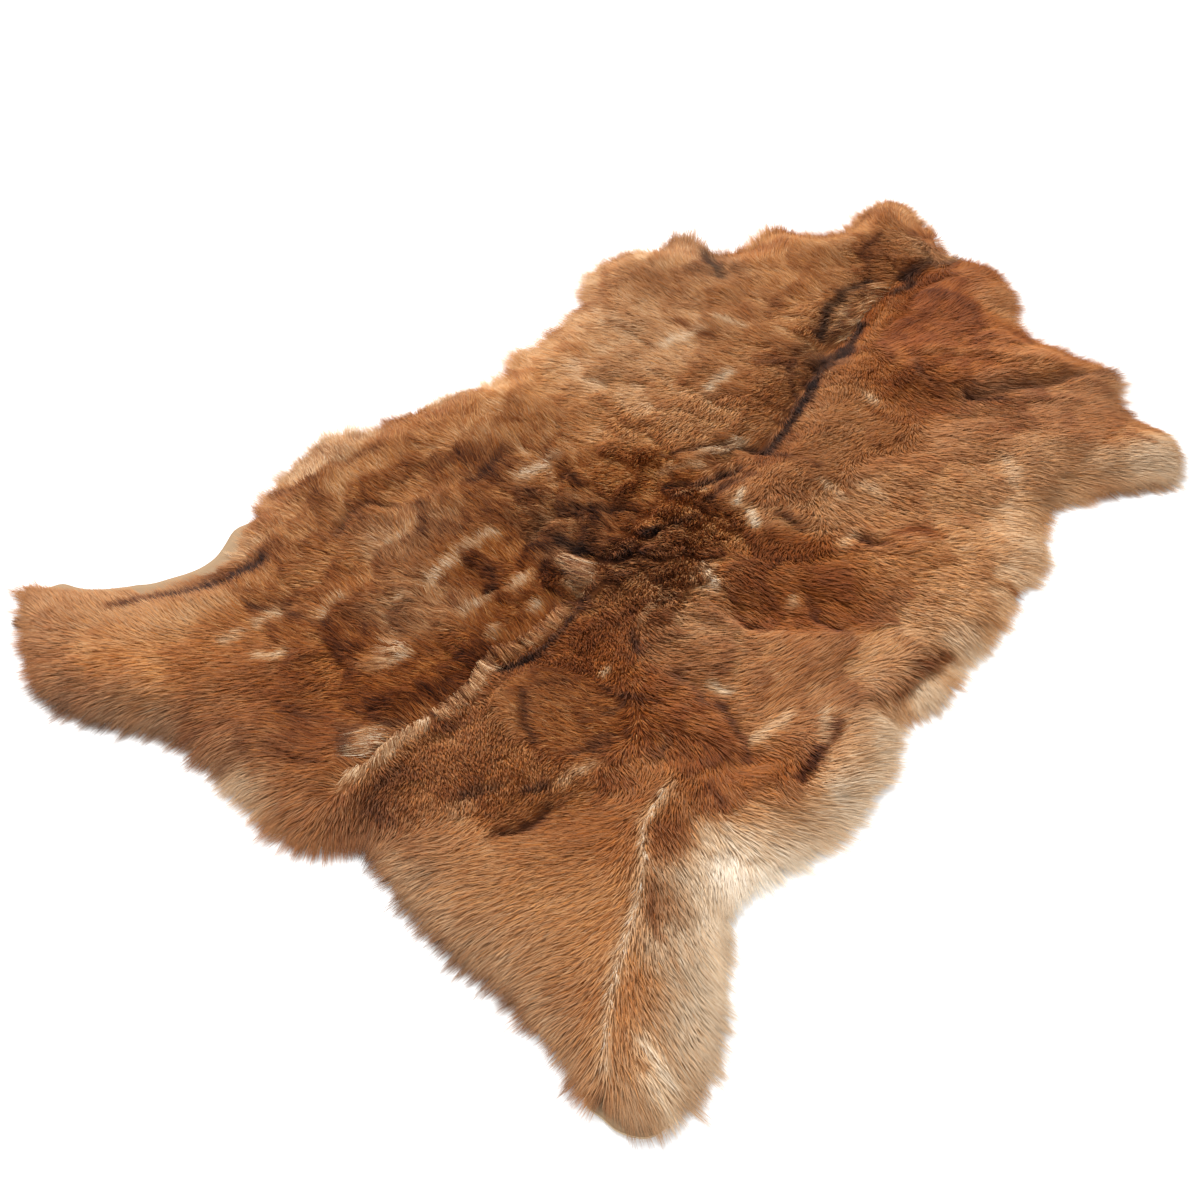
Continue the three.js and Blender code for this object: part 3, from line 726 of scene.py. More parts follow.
# Which way the hair lies. Partings send it off to both sides of a line, from its first pixel to its last:
# spread is how far it turns from the line's own way. Strokes comb it from one pixel to another: x and y of
# both.
partings = [
    {"name": "rump", "reach": 10, "weight": 4, "spreadDeg": 70,
     "line": [(578, 596), (560, 618), (540, 640), (505, 654), (486, 662), (468, 694), (437, 715), (403, 734),
              (377, 761), (346, 784)]},
    {"name": "rightHindLeg", "reach": 15, "weight": 2, "spreadDeg": 17,
     "line": [(672, 780), (645, 815), (645, 880), (622, 950), (608, 1020), (602, 1090)]},
    {"name": "neck", "reach": 16, "weight": 1.2, "spreadDeg": 36,
     "line": [(905, 275), (850, 325), (803, 385), (762, 448), (700, 470), (640, 520), (590, 570)]},
]
combing = [
    # Left hind leg
    (60, 612, 44, 596), (115, 606, 98, 592), (165, 606, 148, 596), (35, 640, 15, 640), (45, 668, 24, 678),
    (95, 672, 66, 682), (80, 695, 58, 712), (150, 668, 118, 676), (140, 700, 114, 720),
    (215, 660, 180, 666), (200, 712, 172, 734), (270, 672, 236, 680), (260, 715, 234, 732),
    (245, 765, 228, 788), (290, 800, 266, 818), (320, 822, 306, 850), (355, 820, 352, 846),
    (300, 745, 276, 738), (330, 770, 306, 784),
    # Left flank
    (275, 540, 256, 536), (300, 500, 288, 484), (330, 460, 322, 438), (362, 450, 356, 428),
    (400, 450, 384, 438), (450, 420, 436, 408), (500, 390, 486, 378), (350, 520, 328, 508),
    (420, 500, 396, 488), (480, 450, 456, 442), (440, 540, 416, 526), (340, 590, 314, 588),
    (400, 620, 372, 626), (300, 640, 272, 642), (360, 680, 332, 688), (430, 660, 402, 664),
    (385, 735, 356, 742), (470, 600, 446, 594), (520, 560, 498, 556), (560, 470, 536, 476),
    # Neck and left shoulder
    (590, 300, 570, 296), (620, 260, 612, 244), (680, 250, 676, 230), (560, 350, 536, 350),
    (640, 330, 610, 334), (600, 380, 570, 386), (700, 370, 668, 380), (660, 420, 634, 434),
    (740, 310, 716, 304), (770, 260, 764, 236), (720, 400, 694, 414), (620, 450, 594, 456),
    (820, 280, 796, 276), (860, 230, 846, 206), (900, 225, 912, 200), (830, 310, 806, 320),
    # Right shoulder and foreleg
    (930, 300, 956, 292), (975, 270, 996, 256), (990, 310, 1016, 306), (900, 340, 926, 334),
    (960, 352, 990, 352), (1050, 362, 1082, 364), (1040, 400, 1070, 398), (1110, 400, 1136, 402),
    (1120, 440, 1150, 448), (1150, 478, 1180, 480), (1060, 440, 1090, 448), (1060, 490, 1090, 500),
    (960, 430, 988, 434), (880, 420, 858, 432), (830, 450, 806, 462), (880, 470, 906, 478),
    (980, 480, 1008, 490),
    # Right flank
    (780, 520, 760, 536), (860, 510, 886, 520), (940, 520, 970, 528), (1020, 530, 1046, 546),
    (980, 570, 1008, 584), (900, 560, 930, 568), (1000, 610, 1020, 630), (930, 600, 956, 616),
    (860, 590, 884, 604), (800, 600, 822, 618), (740, 580, 756, 600), (950, 650, 968, 672),
    (900, 690, 912, 716), (660, 640, 690, 646), (730, 660, 760, 662), (800, 660, 830, 654),
    (860, 650, 886, 640), (760, 700, 786, 692), (680, 700, 700, 716), (700, 750, 716, 776),
    (770, 760, 790, 778), (640, 600, 652, 624), (610, 640, 614, 664), (570, 700, 544, 696),
    (600, 720, 572, 716), (650, 760, 664, 786),
    # Belly
    (860, 740, 890, 742), (850, 780, 880, 778), (820, 810, 850, 806), (790, 840, 816, 846),
    (760, 820, 780, 838), (735, 850, 736, 878), (745, 890, 735, 908),
    # Rump and right hind leg
    (460, 740, 464, 766), (420, 790, 422, 816), (520, 760, 516, 786), (480, 800, 470, 824),
    (440, 840, 408, 846), (510, 840, 478, 848), (580, 840, 550, 850), (480, 890, 452, 906),
    (560, 900, 530, 914), (610, 880, 586, 900), (420, 880, 402, 902), (500, 960, 480, 982),
    (570, 980, 546, 996), (560, 1040, 542, 1060), (590, 1060, 576, 1086), (670, 850, 684, 880),
    (690, 910, 702, 940), (730, 940, 736, 970), (660, 980, 676, 1008), (710, 1010, 720, 1040),
    (650, 1060, 664, 1086), (690, 1080, 696, 1110), (640, 1100, 650, 1126), (610, 820, 584, 826),
]
lie = {
    "strokeReach": 26 * mm,
    "spineX": 22 * mm,
    "flankAt": 110 * mm,  # beyond this from the spine, hair lies outwards rather than to the tail
    "anatomyWeight": 0.06,
    "tailWeight": 1.05,  # how fully it lies to the tail on the spine
    "rimReach": 22 * mm,
    "rimWeight": 1.3,
}


def hairLie():
    # Unit vectors of the hair's way over the plan: anatomy (to the tail along the spine, outwards at the
    # flanks), strokes and partings, all added with bell weights, then turned outwards near the rim.
    off = planX - lie["spineX"]
    outwards = np.tanh(off / lie["flankAt"])
    lieX = lie["anatomyWeight"] * outwards
    lieY = -lie["anatomyWeight"] * (lie["tailWeight"] - np.abs(outwards))
    for stroke in combing:
        (ax, ay), (bx, by) = onCoat(np.reshape(stroke, (2, 2)))
        length = math.hypot(bx - ax, by - ay)
        far = np.hypot(planX - (ax + bx) / 2, planY - (ay + by) / 2) / lie["strokeReach"]
        weight = np.exp(-far * far)
        lieX += weight * (bx - ax) / length
        lieY += weight * (by - ay) / length
    for parting in partings:
        far, across, alongX, alongY = lineFields(parting["line"])
        weight = parting["weight"] * np.exp(-(far / (parting["reach"] * mm)) ** 2)
        turn = math.radians(parting["spreadDeg"]) * np.sign(across)
        lieX += weight * (alongX * np.cos(turn) - alongY * np.sin(turn))
        lieY += weight * (alongX * np.sin(turn) + alongY * np.cos(turn))
    length = np.hypot(lieX, lieY) + tiny
    outer = lie["rimWeight"] * nearness(rimDepth, lie["rimReach"])
    lieX = lieX / length + outer * awayX
    lieY = lieY / length + outer * awayY
    length = np.hypot(lieX, lieY) + tiny
    return lieX / length, lieY / length


lieX, lieY = hairLie()
print("coat combed")

# The coat breaks into lobes, tongues of hair that overlap like shingles: each lies its own way, is paler
# and lower at its roots, and stands over a dark gap at its tips.
lobeSizes = {
    "broad": {
        "seed": 41, "size": 34 * mm, "warp": 14 * mm, "turn": 0.70, "tone": 0.055, "fade": 0.23,
        "rise": 6.0 * mm,
    },
    "small": {
        "seed": 51, "size": 16 * mm, "warp": 6 * mm, "turn": 0.35, "tone": 0.045, "fade": 0.15,
        "rise": 2.6 * mm,
    },
}
lobeShape = {
    "warpCell": 0.7,  # cell of the warp, as a share of the lobe's size
    "halfLong": 0.6,  # furthest place along a lobe that counts, from its centre
    "toneSteps": 37,  # turns a lobe's own number into its tone
    "lookStep": 2 * mm,  # steps by which the next lobe is looked for
}
# Scattered centres: how many the table holds, and the steps through it for each square across and up.
scatter = {"count": 4096, "acrossStep": 73, "upStep": 1291}


def cellCentres(x, y, size, seed):
    # The nearest of a scatter of centres, one in each square of a grid, jittered inside it, and a
    # number between -1 and 1 that belongs to it.
    rng = np.random.default_rng(seed)
    table = rng.uniform(0, 1, (scatter["count"], 3))
    i = np.floor(x / size).astype(int)
    j = np.floor(y / size).astype(int)
    best = np.full(x.shape, np.inf)
    centreX, centreY, own = np.zeros((3, *x.shape))
    for di in (-1, 0, 1):
        for dj in (-1, 0, 1):
            index = (i + di) * scatter["acrossStep"] + (j + dj) * scatter["upStep"]
            row = table[index % scatter["count"]]
            cx = (i + di + row[..., 0]) * size
            cy = (j + dj + row[..., 1]) * size
            far = (x - cx) ** 2 + (y - cy) ** 2
            closer = far < best
            best = np.where(closer, far, best)
            centreX = np.where(closer, cx, centreX)
            centreY = np.where(closer, cy, centreY)
            own = np.where(closer, row[..., 2] * 2 - 1, own)
    return centreX, centreY, own


def lobeAt(lobe, x, y):
    # The lobe over each of these places: its centre and own number, looked up at a place warped by
    # mottling, and the warped place itself.
    warpX = x + sample(lobe["warpX"], x, y)
    warpY = y + sample(lobe["warpY"], x, y)
    return *cellCentres(warpX, warpY, lobe["size"], lobe["seed"]), warpX, warpY


def coatLobes():
    # Turn, tone and height that the lobes add. Along a lobe, from its roots at -0.5 to its tips at 0.5,
    # the tone falls and the height rises, and both start afresh at the next lobe.
    turn, tone, height = np.zeros((3, *planX.shape))
    for lobe in lobeSizes.values():
        cell = lobeShape["warpCell"] * lobe["size"]
        lobe["warpX"] = lobe["warp"] * mottle(lobe["seed"] + 1, cell)
        lobe["warpY"] = lobe["warp"] * mottle(lobe["seed"] + 2, cell)
        cx, cy, own, warpX, warpY = lobeAt(lobe, planX, planY)
        along = ((warpX - cx) * lieX + (warpY - cy) * lieY) / lobe["size"]
        along = np.clip(along, -lobeShape["halfLong"], lobeShape["halfLong"])
        turn += lobe["turn"] * own
        tone += lobe["tone"] * np.sin(own * lobeShape["toneSteps"]) - lobe["fade"] * along
        height += lobe["rise"] * along
    return turn * unrestField, tone * unrestField, height * unrestField


def lobeAhead(x, y, wayX, wayY, furthest):
    # How far each hair can go before its way leaves its own broad lobe: the first of even steps at which
    # the lobe is another one.
    lobe = lobeSizes["broad"]
    own = lobeAt(lobe, x, y)[2]
    ahead = np.full(len(x), furthest)
    step = lobeShape["lookStep"]
    for way in np.arange(furthest, 0, -step):
        other = np.abs(lobeAt(lobe, x + wayX * way, y + wayY * way)[2] - own) > tiny
        ahead = np.where(other, way - step / 2, ahead)
    return ahead


lobeTurn, lobeTone, lobeHeight = coatLobes()
print("lobes laid out")

# Fine folds: width and height in millimetres, down if negative, and pixels of its line.
fineFolds = [
    (5, -4, [(950, 260), (908, 280)]),
    (6, -5, [(858, 325), (822, 355), (803, 385), (780, 425), (762, 448)]),
    (5, -4, [(742, 465), (705, 478), (668, 484)]),
    (5, -4, [(762, 448), (700, 443), (665, 452)]),
    (5, -5, [(586, 575), (562, 615), (535, 640), (505, 660), (484, 662)]),
    (7, 3, [(574, 607), (528, 647), (490, 668), (450, 706), (395, 742), (350, 776)]),
    (6, -4, [(532, 538), (548, 512), (585, 506), (622, 506)]),
    (6, -4, [(336, 536), (350, 515), (372, 501), (400, 504)]),
    (5, -6, [(262, 561), (240, 571), (215, 582), (190, 590), (165, 595)]),
    (5, -4, [(524, 690), (528, 724), (536, 738)]),
    (5, -4, [(717, 703), (741, 738), (744, 756)]),
    (6, -4, [(834, 722), (812, 755), (800, 772)]),
    (6, -4, [(498, 832), (522, 828), (552, 803)]),
    (7, -4, [(945, 652), (905, 682)]),
    (7, -3, [(965, 392), (1040, 381), (1112, 368)]),
    (7, 4, [(925, 350), (980, 352), (1040, 362)]),
    (7, 3, [(930, 415), (1000, 400), (1060, 398)]),
    (6, -4, [(805, 595), (812, 615), (840, 632)]),
    (6, -4, [(733, 600), (738, 618), (755, 632)]),
    (5, -4, [(780, 510), (806, 528)]),
    (6, -4, [(852, 535), (884, 540)]),
    (8, 4, [(640, 615), (700, 610), (760, 640)]),
    (8, 3, [(362, 740), (388, 728)]),
    (6, 3, [(366, 662), (410, 650)]),
]


def coatRelief():
    # Height of the coat's top: its base, the fine folds and dents, smooth unevenness, and the lobes.
    inner = smoothStep(rimDepth / relief["rimRoll"])
    height = baseTop + dentField * inner
    for width, rise, line in fineFolds:
        far = lineFields(line)[0] / (width * mm)
        height += rise * mm * np.exp(-far * far) * smoothStep(rimDepth / relief["foldFade"])
    height += mottled(0, relief["uneven"]) * mm * inner * (relief["calmUneven"] + unrestField)
    height += lobeHeight * inner
    return np.where(rimDepth > 0, np.maximum(height, relief["least"]), baseTop)


coatTop = coatRelief()
print("relief of the coat worked out")

# Surfaces and materials

# Roughness and specular level of each surface, scale and detail of its grain, and the grain's bump.
surfaces = {
    "goatHair": {"roughness": 0.6, "specular": 0.08},
    "underfur": {
        "roughness": 0.85, "specular": 0.08, "grain": (900.0, 3.0), "bump": 0.35, "bumpDepth": 0.6 * mm,
    },
    "fleshSide": {
        "roughness": 0.9, "specular": 0.25, "grain": (650.0, 4.0), "bump": 0.4, "bumpDepth": 0.3 * mm,
    },
    "studioFloor": {"roughness": 0.9, "specular": 0.1},
}


def noise(tree, scale, detail):
    # Noise over the piece's own coordinates.
    place = tree.nodes.new("ShaderNodeTexCoord")
    texture = tree.nodes.new("ShaderNodeTexNoise")
    texture.inputs["Scale"].default_value = scale
    texture.inputs["Detail"].default_value = detail
    tree.links.new(place.outputs["Object"], texture.inputs["Vector"])
    return texture


def newMaterial(name):
    # A material with the roughness, specular level and grain of its surface. The grain's bump is its noise.
    surface = surfaces[name]
    material = bpy.data.materials.new(name)
    material.use_nodes = True
    tree = material.node_tree
    tree.nodes.clear()
    output = tree.nodes.new("ShaderNodeOutputMaterial")
    shader = tree.nodes.new("ShaderNodeBsdfPrincipled")
    shader.inputs["Roughness"].default_value = surface["roughness"]
    shader.inputs["Specular IOR Level"].default_value = surface["specular"]
    tree.links.new(shader.outputs["BSDF"], output.inputs["Surface"])
    if "grain" in surface:
        bump = tree.nodes.new("ShaderNodeBump")
        bump.inputs["Strength"].default_value = surface["bump"]
        bump.inputs["Distance"].default_value = surface["bumpDepth"]
        tree.links.new(noise(tree, *surface["grain"]).outputs["Fac"], bump.inputs["Height"])
        tree.links.new(bump.outputs["Normal"], shader.inputs["Normal"])
    return material, tree, shader


def linear(rgb):
    # From a screen colour of 0 to 255 to the linear colour that the nodes take, by the standard curve.
    share = np.array(rgb) / 255
    return tuple(np.where(share <= 0.04045, share / 12.92, ((share + 0.055) / 1.055) ** 2.4)) + (1.0,)


def colourRamp(tree, rows):
    # A ramp through these colours, each with its place.
    ramp = tree.nodes.new("ShaderNodeValToRGB")
    stops = ramp.color_ramp.elements
    while len(stops) < len(rows):
        stops.new(0.5)
    for stop, (place, colour) in zip(stops, rows):
        stop.position = place
        stop.color = linear(colour)
    return ramp


# Screen colours of goat hair from dark to cream, with the tone at which each stands.
hairColours = {
    "rust": [
        (0.00, (28, 13, 8)), (0.15, (88, 40, 15)), (0.30, (140, 70, 24)), (0.45, (180, 104, 42)),
        (0.60, (212, 144, 75)), (0.75, (233, 183, 125)), (0.90, (247, 220, 183)), (1.00, (253, 241, 220)),
    ],
    "grey": [
        (0.00, (26, 20, 19)), (0.15, (74, 57, 46)), (0.30, (116, 91, 68)), (0.45, (154, 127, 98)),
        (0.60, (186, 161, 132)), (0.75, (213, 194, 168)), (0.90, (236, 225, 208)), (1.00, (250, 246, 238)),
    ],
}


def hairColourGroup():
    # Colour of a hair: two ramps over its tone, one grey and one rust, mixed by its warmth.
    group = bpy.data.node_groups.new("hairColour", "ShaderNodeTree")
    group.interface.new_socket("Tone", in_out="INPUT", socket_type="NodeSocketFloat")
    group.interface.new_socket("Warmth", in_out="INPUT", socket_type="NodeSocketFloat")
    group.interface.new_socket("Colour", in_out="OUTPUT", socket_type="NodeSocketColor")
    given = group.nodes.new("NodeGroupInput")
    result = group.nodes.new("NodeGroupOutput")
    mix = group.nodes.new("ShaderNodeMix")
    mix.data_type = "RGBA"
    group.links.new(given.outputs["Warmth"], mix.inputs["Factor"])
    for name, socket in (("grey", "A"), ("rust", "B")):
        ramp = colourRamp(group, hairColours[name])
        end = next(s for s in mix.inputs if s.name == socket and s.type == "RGBA")
        group.links.new(given.outputs["Tone"], ramp.inputs["Fac"])
        group.links.new(ramp.outputs["Color"], end)
    group.links.new(next(s for s in mix.outputs if s.type == "RGBA"), result.inputs["Colour"])
    return group


hairColour = hairColourGroup()


def hairMaterial():
    # The hair's map holds its tone across and its warmth up, so its colour is read straight from it.
    material, tree, shader = newMaterial("goatHair")
    hairMap = tree.nodes.new("ShaderNodeUVMap")
    hairMap.uv_map = "OFBake"
    split = tree.nodes.new("ShaderNodeSeparateXYZ")
    colour = tree.nodes.new("ShaderNodeGroup")
    colour.node_tree = hairColour
    tree.links.new(hairMap.outputs["UV"], split.inputs["Vector"])
    tree.links.new(split.outputs["X"], colour.inputs["Tone"])
    tree.links.new(split.outputs["Y"], colour.inputs["Warmth"])
    tree.links.new(colour.outputs["Colour"], shader.inputs["Base Color"])
    return material


def underfurMaterial():
    # The upper side of the hide: the coat's own tone and warmth, a little dimmed by painted shade under the
    # hair, with a felted grain.
    material, tree, shader = newMaterial("underfur")
    colour = tree.nodes.new("ShaderNodeGroup")
    colour.node_tree = hairColour
    for name in ("Tone", "Warmth"):
        attribute = tree.nodes.new("ShaderNodeAttribute")
        attribute.attribute_name = name.lower()
        tree.links.new(attribute.outputs["Fac"], colour.inputs[name])
    tree.links.new(colour.outputs["Colour"], shader.inputs["Base Color"])
    return material


# The flesh side's clouding: its noise, and the two leather colours between which it goes.
clouding = {
    "scale": 9.0,
    "detail": 6.0,
    "roughness": 0.6,
    "shades": [(0.32, (186, 158, 124)), (0.68, (224, 204, 172))],
}


def suedeMaterial():
    # The flesh side: pale tanned leather, clouded by noise between two shades, with a fine nap.
    material, tree, shader = newMaterial("fleshSide")
    cloud = noise(tree, clouding["scale"], clouding["detail"])
    cloud.inputs["Roughness"].default_value = clouding["roughness"]
    shades = colourRamp(tree, clouding["shades"])
    tree.links.new(cloud.outputs["Fac"], shades.inputs["Fac"])
    tree.links.new(shades.outputs["Color"], shader.inputs["Base Color"])
    return material


def addMesh(name, points, triangles, materials, mapPoints=None, smooth=True):
    # Puts arrays of points and three-cornered faces into a mesh, with a map for each corner if given.
    mesh = bpy.data.meshes.new(name)
    mesh.vertices.add(len(points))
    mesh.vertices.foreach_set("co", np.asarray(points, np.float32).ravel())
    mesh.loops.add(triangles.size)
    mesh.loops.foreach_set("vertex_index", triangles.ravel().astype(np.int32))
    mesh.polygons.add(len(triangles))
    mesh.polygons.foreach_set("loop_start", np.arange(0, triangles.size, 3, dtype=np.int32))
    mesh.polygons.foreach_set("use_smooth", np.full(len(triangles), smooth))
    if mapPoints is not None:
        layer = mesh.uv_layers.new(name="OFBake")
        layer.uv.foreach_set("vector", np.asarray(mapPoints, np.float32).ravel())
    for material in materials:
        mesh.materials.append(material)
    mesh.update(calc_edges=True)
    piece = bpy.data.objects.new(name, mesh)
    bpy.context.scene.collection.objects.link(piece)
    return piece


# The hide: leather and the felted underfur on it, as one closed sheet.
hide = {
    "step": 5.0 * mm,
    "underfurShare": 0.64,  # of the coat's height, over the body
    "calmShare": 0.27,  # further share where the coat lies calm
    "least": 2.2 * mm,
    "floorGap": 0.2 * mm,
    "furPast": 2 * mm,  # how far past the leather's edge the underfur starts to rise
    "furRise": 24 * mm,
    "bareThinner": 0.85,
    "trimRounds": 3,  # of dropping squares that hang on by a corner or a side
    "edgeRounds": 8,  # of drawing corners onto the edge
    "edgeStep": 0.8,
    # Painted shade deep in the coat: the underfur's tone is lowered by this, the more where the coat is
    # restless.
    "underfurShade": 0.05,  # the underfur than the hair over it
    "skinTone": 0.46,
    "skinWarmth": 0.0,
    "skinSharper": 1.6,  # how quickly underfur turns to skin
}
# The hide's map: how much of its height the hide fills, its squeeze across, its margin, the place of the
# flesh side, and the width of the rim.
hideMap = {"fill": 0.98, "narrow": (0.7, 1), "margin": 0.01, "fleshAt": (0.5, 0), "rimWidth": 0.004}


def hideTop(x, y):
    # Height of the underfur: a share of the coat's, thinning to bare leather at the rim and on bare skin.
    depth = sample(rimDepth, x, y)
    calm = 1 - sample(unrestField, x, y)
    full = sample(coatTop, x, y) * (hide["underfurShare"] + hide["calmShare"] * calm)
    grown = smoothStep((depth + hide["furPast"]) / hide["furRise"])
    grown *= 1 - hide["bareThinner"] * sample(bareness, x, y)
    return hide["least"] + np.maximum(full - hide["least"], 0) * grown


def leatherSquares(step):
    # Squares of a grid over the leather, as rows of four corners, and the places of the corners. Squares
    # that hang on by a corner or a side are dropped.
    gx = np.arange(xs[0], xs[-1], step)
    gy = np.arange(ys[0], ys[-1], step)
    x, y = np.meshgrid(gx, gy)
    kept = sample(rimDepth, x[:-1, :-1] + step / 2, y[:-1, :-1] + step / 2) > 0
    for _ in range(hide["trimRounds"]):
        ring = np.pad(kept, 1)
        sides = ring[:-2, 1:-1].astype(int) + ring[2:, 1:-1] + ring[1:-1, :-2] + ring[1:-1, 2:]
        kept &= sides >= 2
    j, i = np.nonzero(kept)
    width = len(gx)
    corner = j * width + i
    squares = np.column_stack([corner, corner + 1, corner + width + 1, corner + width])
    used, squares = np.unique(squares, return_inverse=True)
    return x.ravel()[used], y.ravel()[used], squares.reshape(-1, 4)


def outerSides(squares):
    # Sides that belong to one square only.
    sides = np.concatenate([squares[:, [k, (k + 1) % 4]] for k in range(4)])
    key = np.sort(sides, axis=1)
    _, first, count = np.unique(key, axis=0, return_index=True, return_counts=True)
    return sides[first[count == 1]]


def colourHide(piece, x, y):
    # Tone and warmth of the underfur, lowered in tone by painted shade where the coat is restless, which
    # turn to those of skin on bare strips.
    skin = smoothStep(sample(bareness, x, y) * hide["skinSharper"])
    tone = sample(toneField + lobeTone - hide["underfurShade"] * unrestField, x, y)
    warmth = sample(warmthField, x, y)
    tone += (hide["skinTone"] - tone) * skin
    warmth += (hide["skinWarmth"] - warmth) * skin
    for name, values in (("tone", tone), ("warmth", warmth)):
        attribute = piece.data.attributes.new(name, "FLOAT", "POINT")
        attribute.data.foreach_set("value", values.astype(np.float32))


def makeHide():
    # The squares on the leather, with their outer corners drawn onto its edge; the same again at the
    # floor, and a wall round the edge between them.
    step = hide["step"]
    px, py, squares = leatherSquares(step)
    rim = outerSides(squares)
    onRim = np.unique(rim)
    for _ in range(hide["edgeRounds"]):
        depth = sample(rimDepth, px[onRim], py[onRim]) * hide["edgeStep"]
        px[onRim] += depth * sample(awayX, px[onRim], py[onRim])
        py[onRim] += depth * sample(awayY, px[onRim], py[onRim])
    top = np.column_stack([px, py, hideTop(px, py)])
    bottom = np.column_stack([px, py, np.full(len(px), hide["floorGap"])])
    n = len(px)
    upper = np.concatenate([squares[:, [0, 1, 2]], squares[:, [0, 2, 3]]])
    lower = upper[:, ::-1] + n
    a = rim[:, 0]
    b = rim[:, 1]
    wall = np.concatenate([np.column_stack([a, a + n, b + n]), np.column_stack([a, b + n, b])])
    triangles = np.concatenate([upper, lower, wall])
    points = np.concatenate([top, bottom])
    # Map: the upper side on the left half, the flesh side on the right half, the wall as a rim round that.
    low = np.array([xs[0], ys[0]])
    scale = hideMap["fill"] / (ys[-1] - ys[0])
    flat = (points[:, :2] - low) * scale * hideMap["narrow"] + hideMap["margin"]
    flesh = flat + hideMap["fleshAt"]
    away = np.column_stack([sample(awayX, px, py), sample(awayY, px, py)])
    rimMap = flesh.copy()
    rimMap[:n] += away * hideMap["rimWidth"]
    mapPoints = np.concatenate([flat[upper], flesh[lower], rimMap[wall]]).reshape(-1, 2)
    piece = addMesh("hide", points, triangles, [underfurMaterial(), suedeMaterial()], mapPoints)
    material = np.ones(len(triangles), np.int32)
    material[:len(upper)] = 0
    piece.data.polygons.foreach_set("material_index", material)
    colourHide(piece, points[:, 0], points[:, 1])
    area = len(squares) * step * step
    print("hide made,", len(triangles), "triangles,", round(area, 3), "square metres")
    return piece, area


hidePiece, hideArea = makeHide()

# The hair. Each hair is a slender kite of two faces, widest below its middle, which stands out of the
# underfur at its root and lies over onto the top of the coat at its tip.
hairLayers = {
    "underCoat": {
        "seed": 31, "hairs": 97000, "length": 0.85, "width": 1.15, "stand": 0.85, "pull": 0.12, "clump": 6,
        "turn": 0.20, "tone": -0.05, "spread": 0.045, "rimShare": 0.45, "spikes": 0.12,
    },
    "lowerCoat": {
        "seed": 32, "hairs": 97000, "length": 1.00, "width": 0.95, "stand": 0.96, "pull": 0.16, "clump": 5,
        "turn": 0.18, "tone": -0.01, "spread": 0.055, "rimShare": 0.52, "spikes": 0.12,
    },
    "upperCoat": {
        "seed": 33, "hairs": 97000, "length": 1.05, "width": 0.80, "stand": 1.04, "pull": 0.20, "clump": 4.5,
        "turn": 0.17, "tone": 0.01, "spread": 0.060, "rimShare": 0.62, "spikes": 0.14,
    },
    "topCoat": {
        "seed": 34, "hairs": 97000, "length": 1.00, "width": 0.62, "stand": 1.12, "pull": 0.22, "clump": 4,
        "turn": 0.18, "tone": 0.02, "spread": 0.068, "rimShare": 0.70, "spikes": 0.14,
    },
    "rimHair": {
        "seed": 35, "hairs": 60000, "length": 1.30, "width": 0.42, "stand": 1.05, "pull": 0.45, "clump": 6,
        "turn": 0.24, "tone": 0.0, "spread": 0.06, "rimShare": 1.40, "spikes": 0.45, "wisps": 0.40,
        "rimBand": 13 * mm,
    },
}
hairShape = {
    # Roots
    "rootPitch": 0.985,  # they are laid this much closer than asked, then thinned
    "rootDepth": 0.5 * mm,  # none is nearer to the edge
    "wholeCoat": 1.0,  # a depth that takes in every root
    "clumpSeed": 100,
    # Way and length
    "clumpTurn": 0.12,
    "calmDepth": 25 * mm,  # over which lobes begin to count
    "lengthVaries": 0.25,
    "looseEnds": 6 * mm,  # how far tips go past the edge of their own tongue
    "looseLeast": 0.2,  # least share of that
    "calmLooseMm": 20,  # how much further they go where the coat lies calm
    "lookAhead": 16 * mm,
    "outLeast": 0.25,  # hairs along the rim are cut as if they went out by this share
    "fringeLonger": 0.6,  # how much longer hairs are at the rim
    "fringeDepth": 30 * mm,
    "bareStrip": 6 * mm,  # beside a bare strip this wide, hairs are shorter and lower
    "bareDepth": 20 * mm,
    "bareShorter": 0.75,
    # Form and height
    "middle": 0.42,  # how far along its length a hair is widest
    "middleRise": 0.62,  # how far it has risen there
    "bend": 0.035,
    "tiltDeg": 22,  # how far hairs roll about their own length
    "widthVaries": 0.25,
    "rimFiner": 0.45,  # how much finer hairs are at the rim
    "edgeDepth": 16 * mm,  # over which they are finer and lifted
    "rootUnder": 0.6 * mm,  # how deep roots stand in the underfur
    "keepsLevel": 0.70,  # how far a tip stays at the height of its root's own lobe
    "tipFall": 2 * mm,  # where the coat rises towards a tip, it stays below by at most this
    "standVaries": 0.06,
    "bareLower": 0.45,
    "liftMost": 1.3,
    "lowest": {"point": 0.3 * mm, "middle": 0.7 * mm, "tip": 0.6 * mm},
    # Colour
    "seenAt": 0.4,  # how far along a hair its colour is read
    # Painted shade at the roots, deep in the coat: how much lower a hair's tone is there.
    "rootShade": 0.07,
    "tipTone": 0.02,
    "tipVaries": 0.035,
    "clumpTone": 0.03,
    # Painted backlight: hairs near the rim are paler by this much.
    "rimBacklight": 0.06,  # how much paler hairs are at the rim
    "paleDepth": 10 * mm,
    "warmthVaries": 0.11,
    "toneEnds": (0.02, 0.98),
    "mapHalf": 0.006,  # half width of a hair in its map
    "mapTip": 0.005,
}
# How far the hair reaches past the leather: a length, and how it varies over long and short stretches.
overhang = {
    "reach": 10.5 * mm,
    "uneven": ((0.35, 61, 26 * mm), (0.30, 62, 8 * mm)),  # shares, seeds and cells of mottling
    "least": 0.30,
    "most": 1.25,
    "wisps": 0.10,  # share of hairs that go further
    "wisp": 1.8,
}
overhangField = overhang["reach"] * mottled(1, overhang["uneven"])


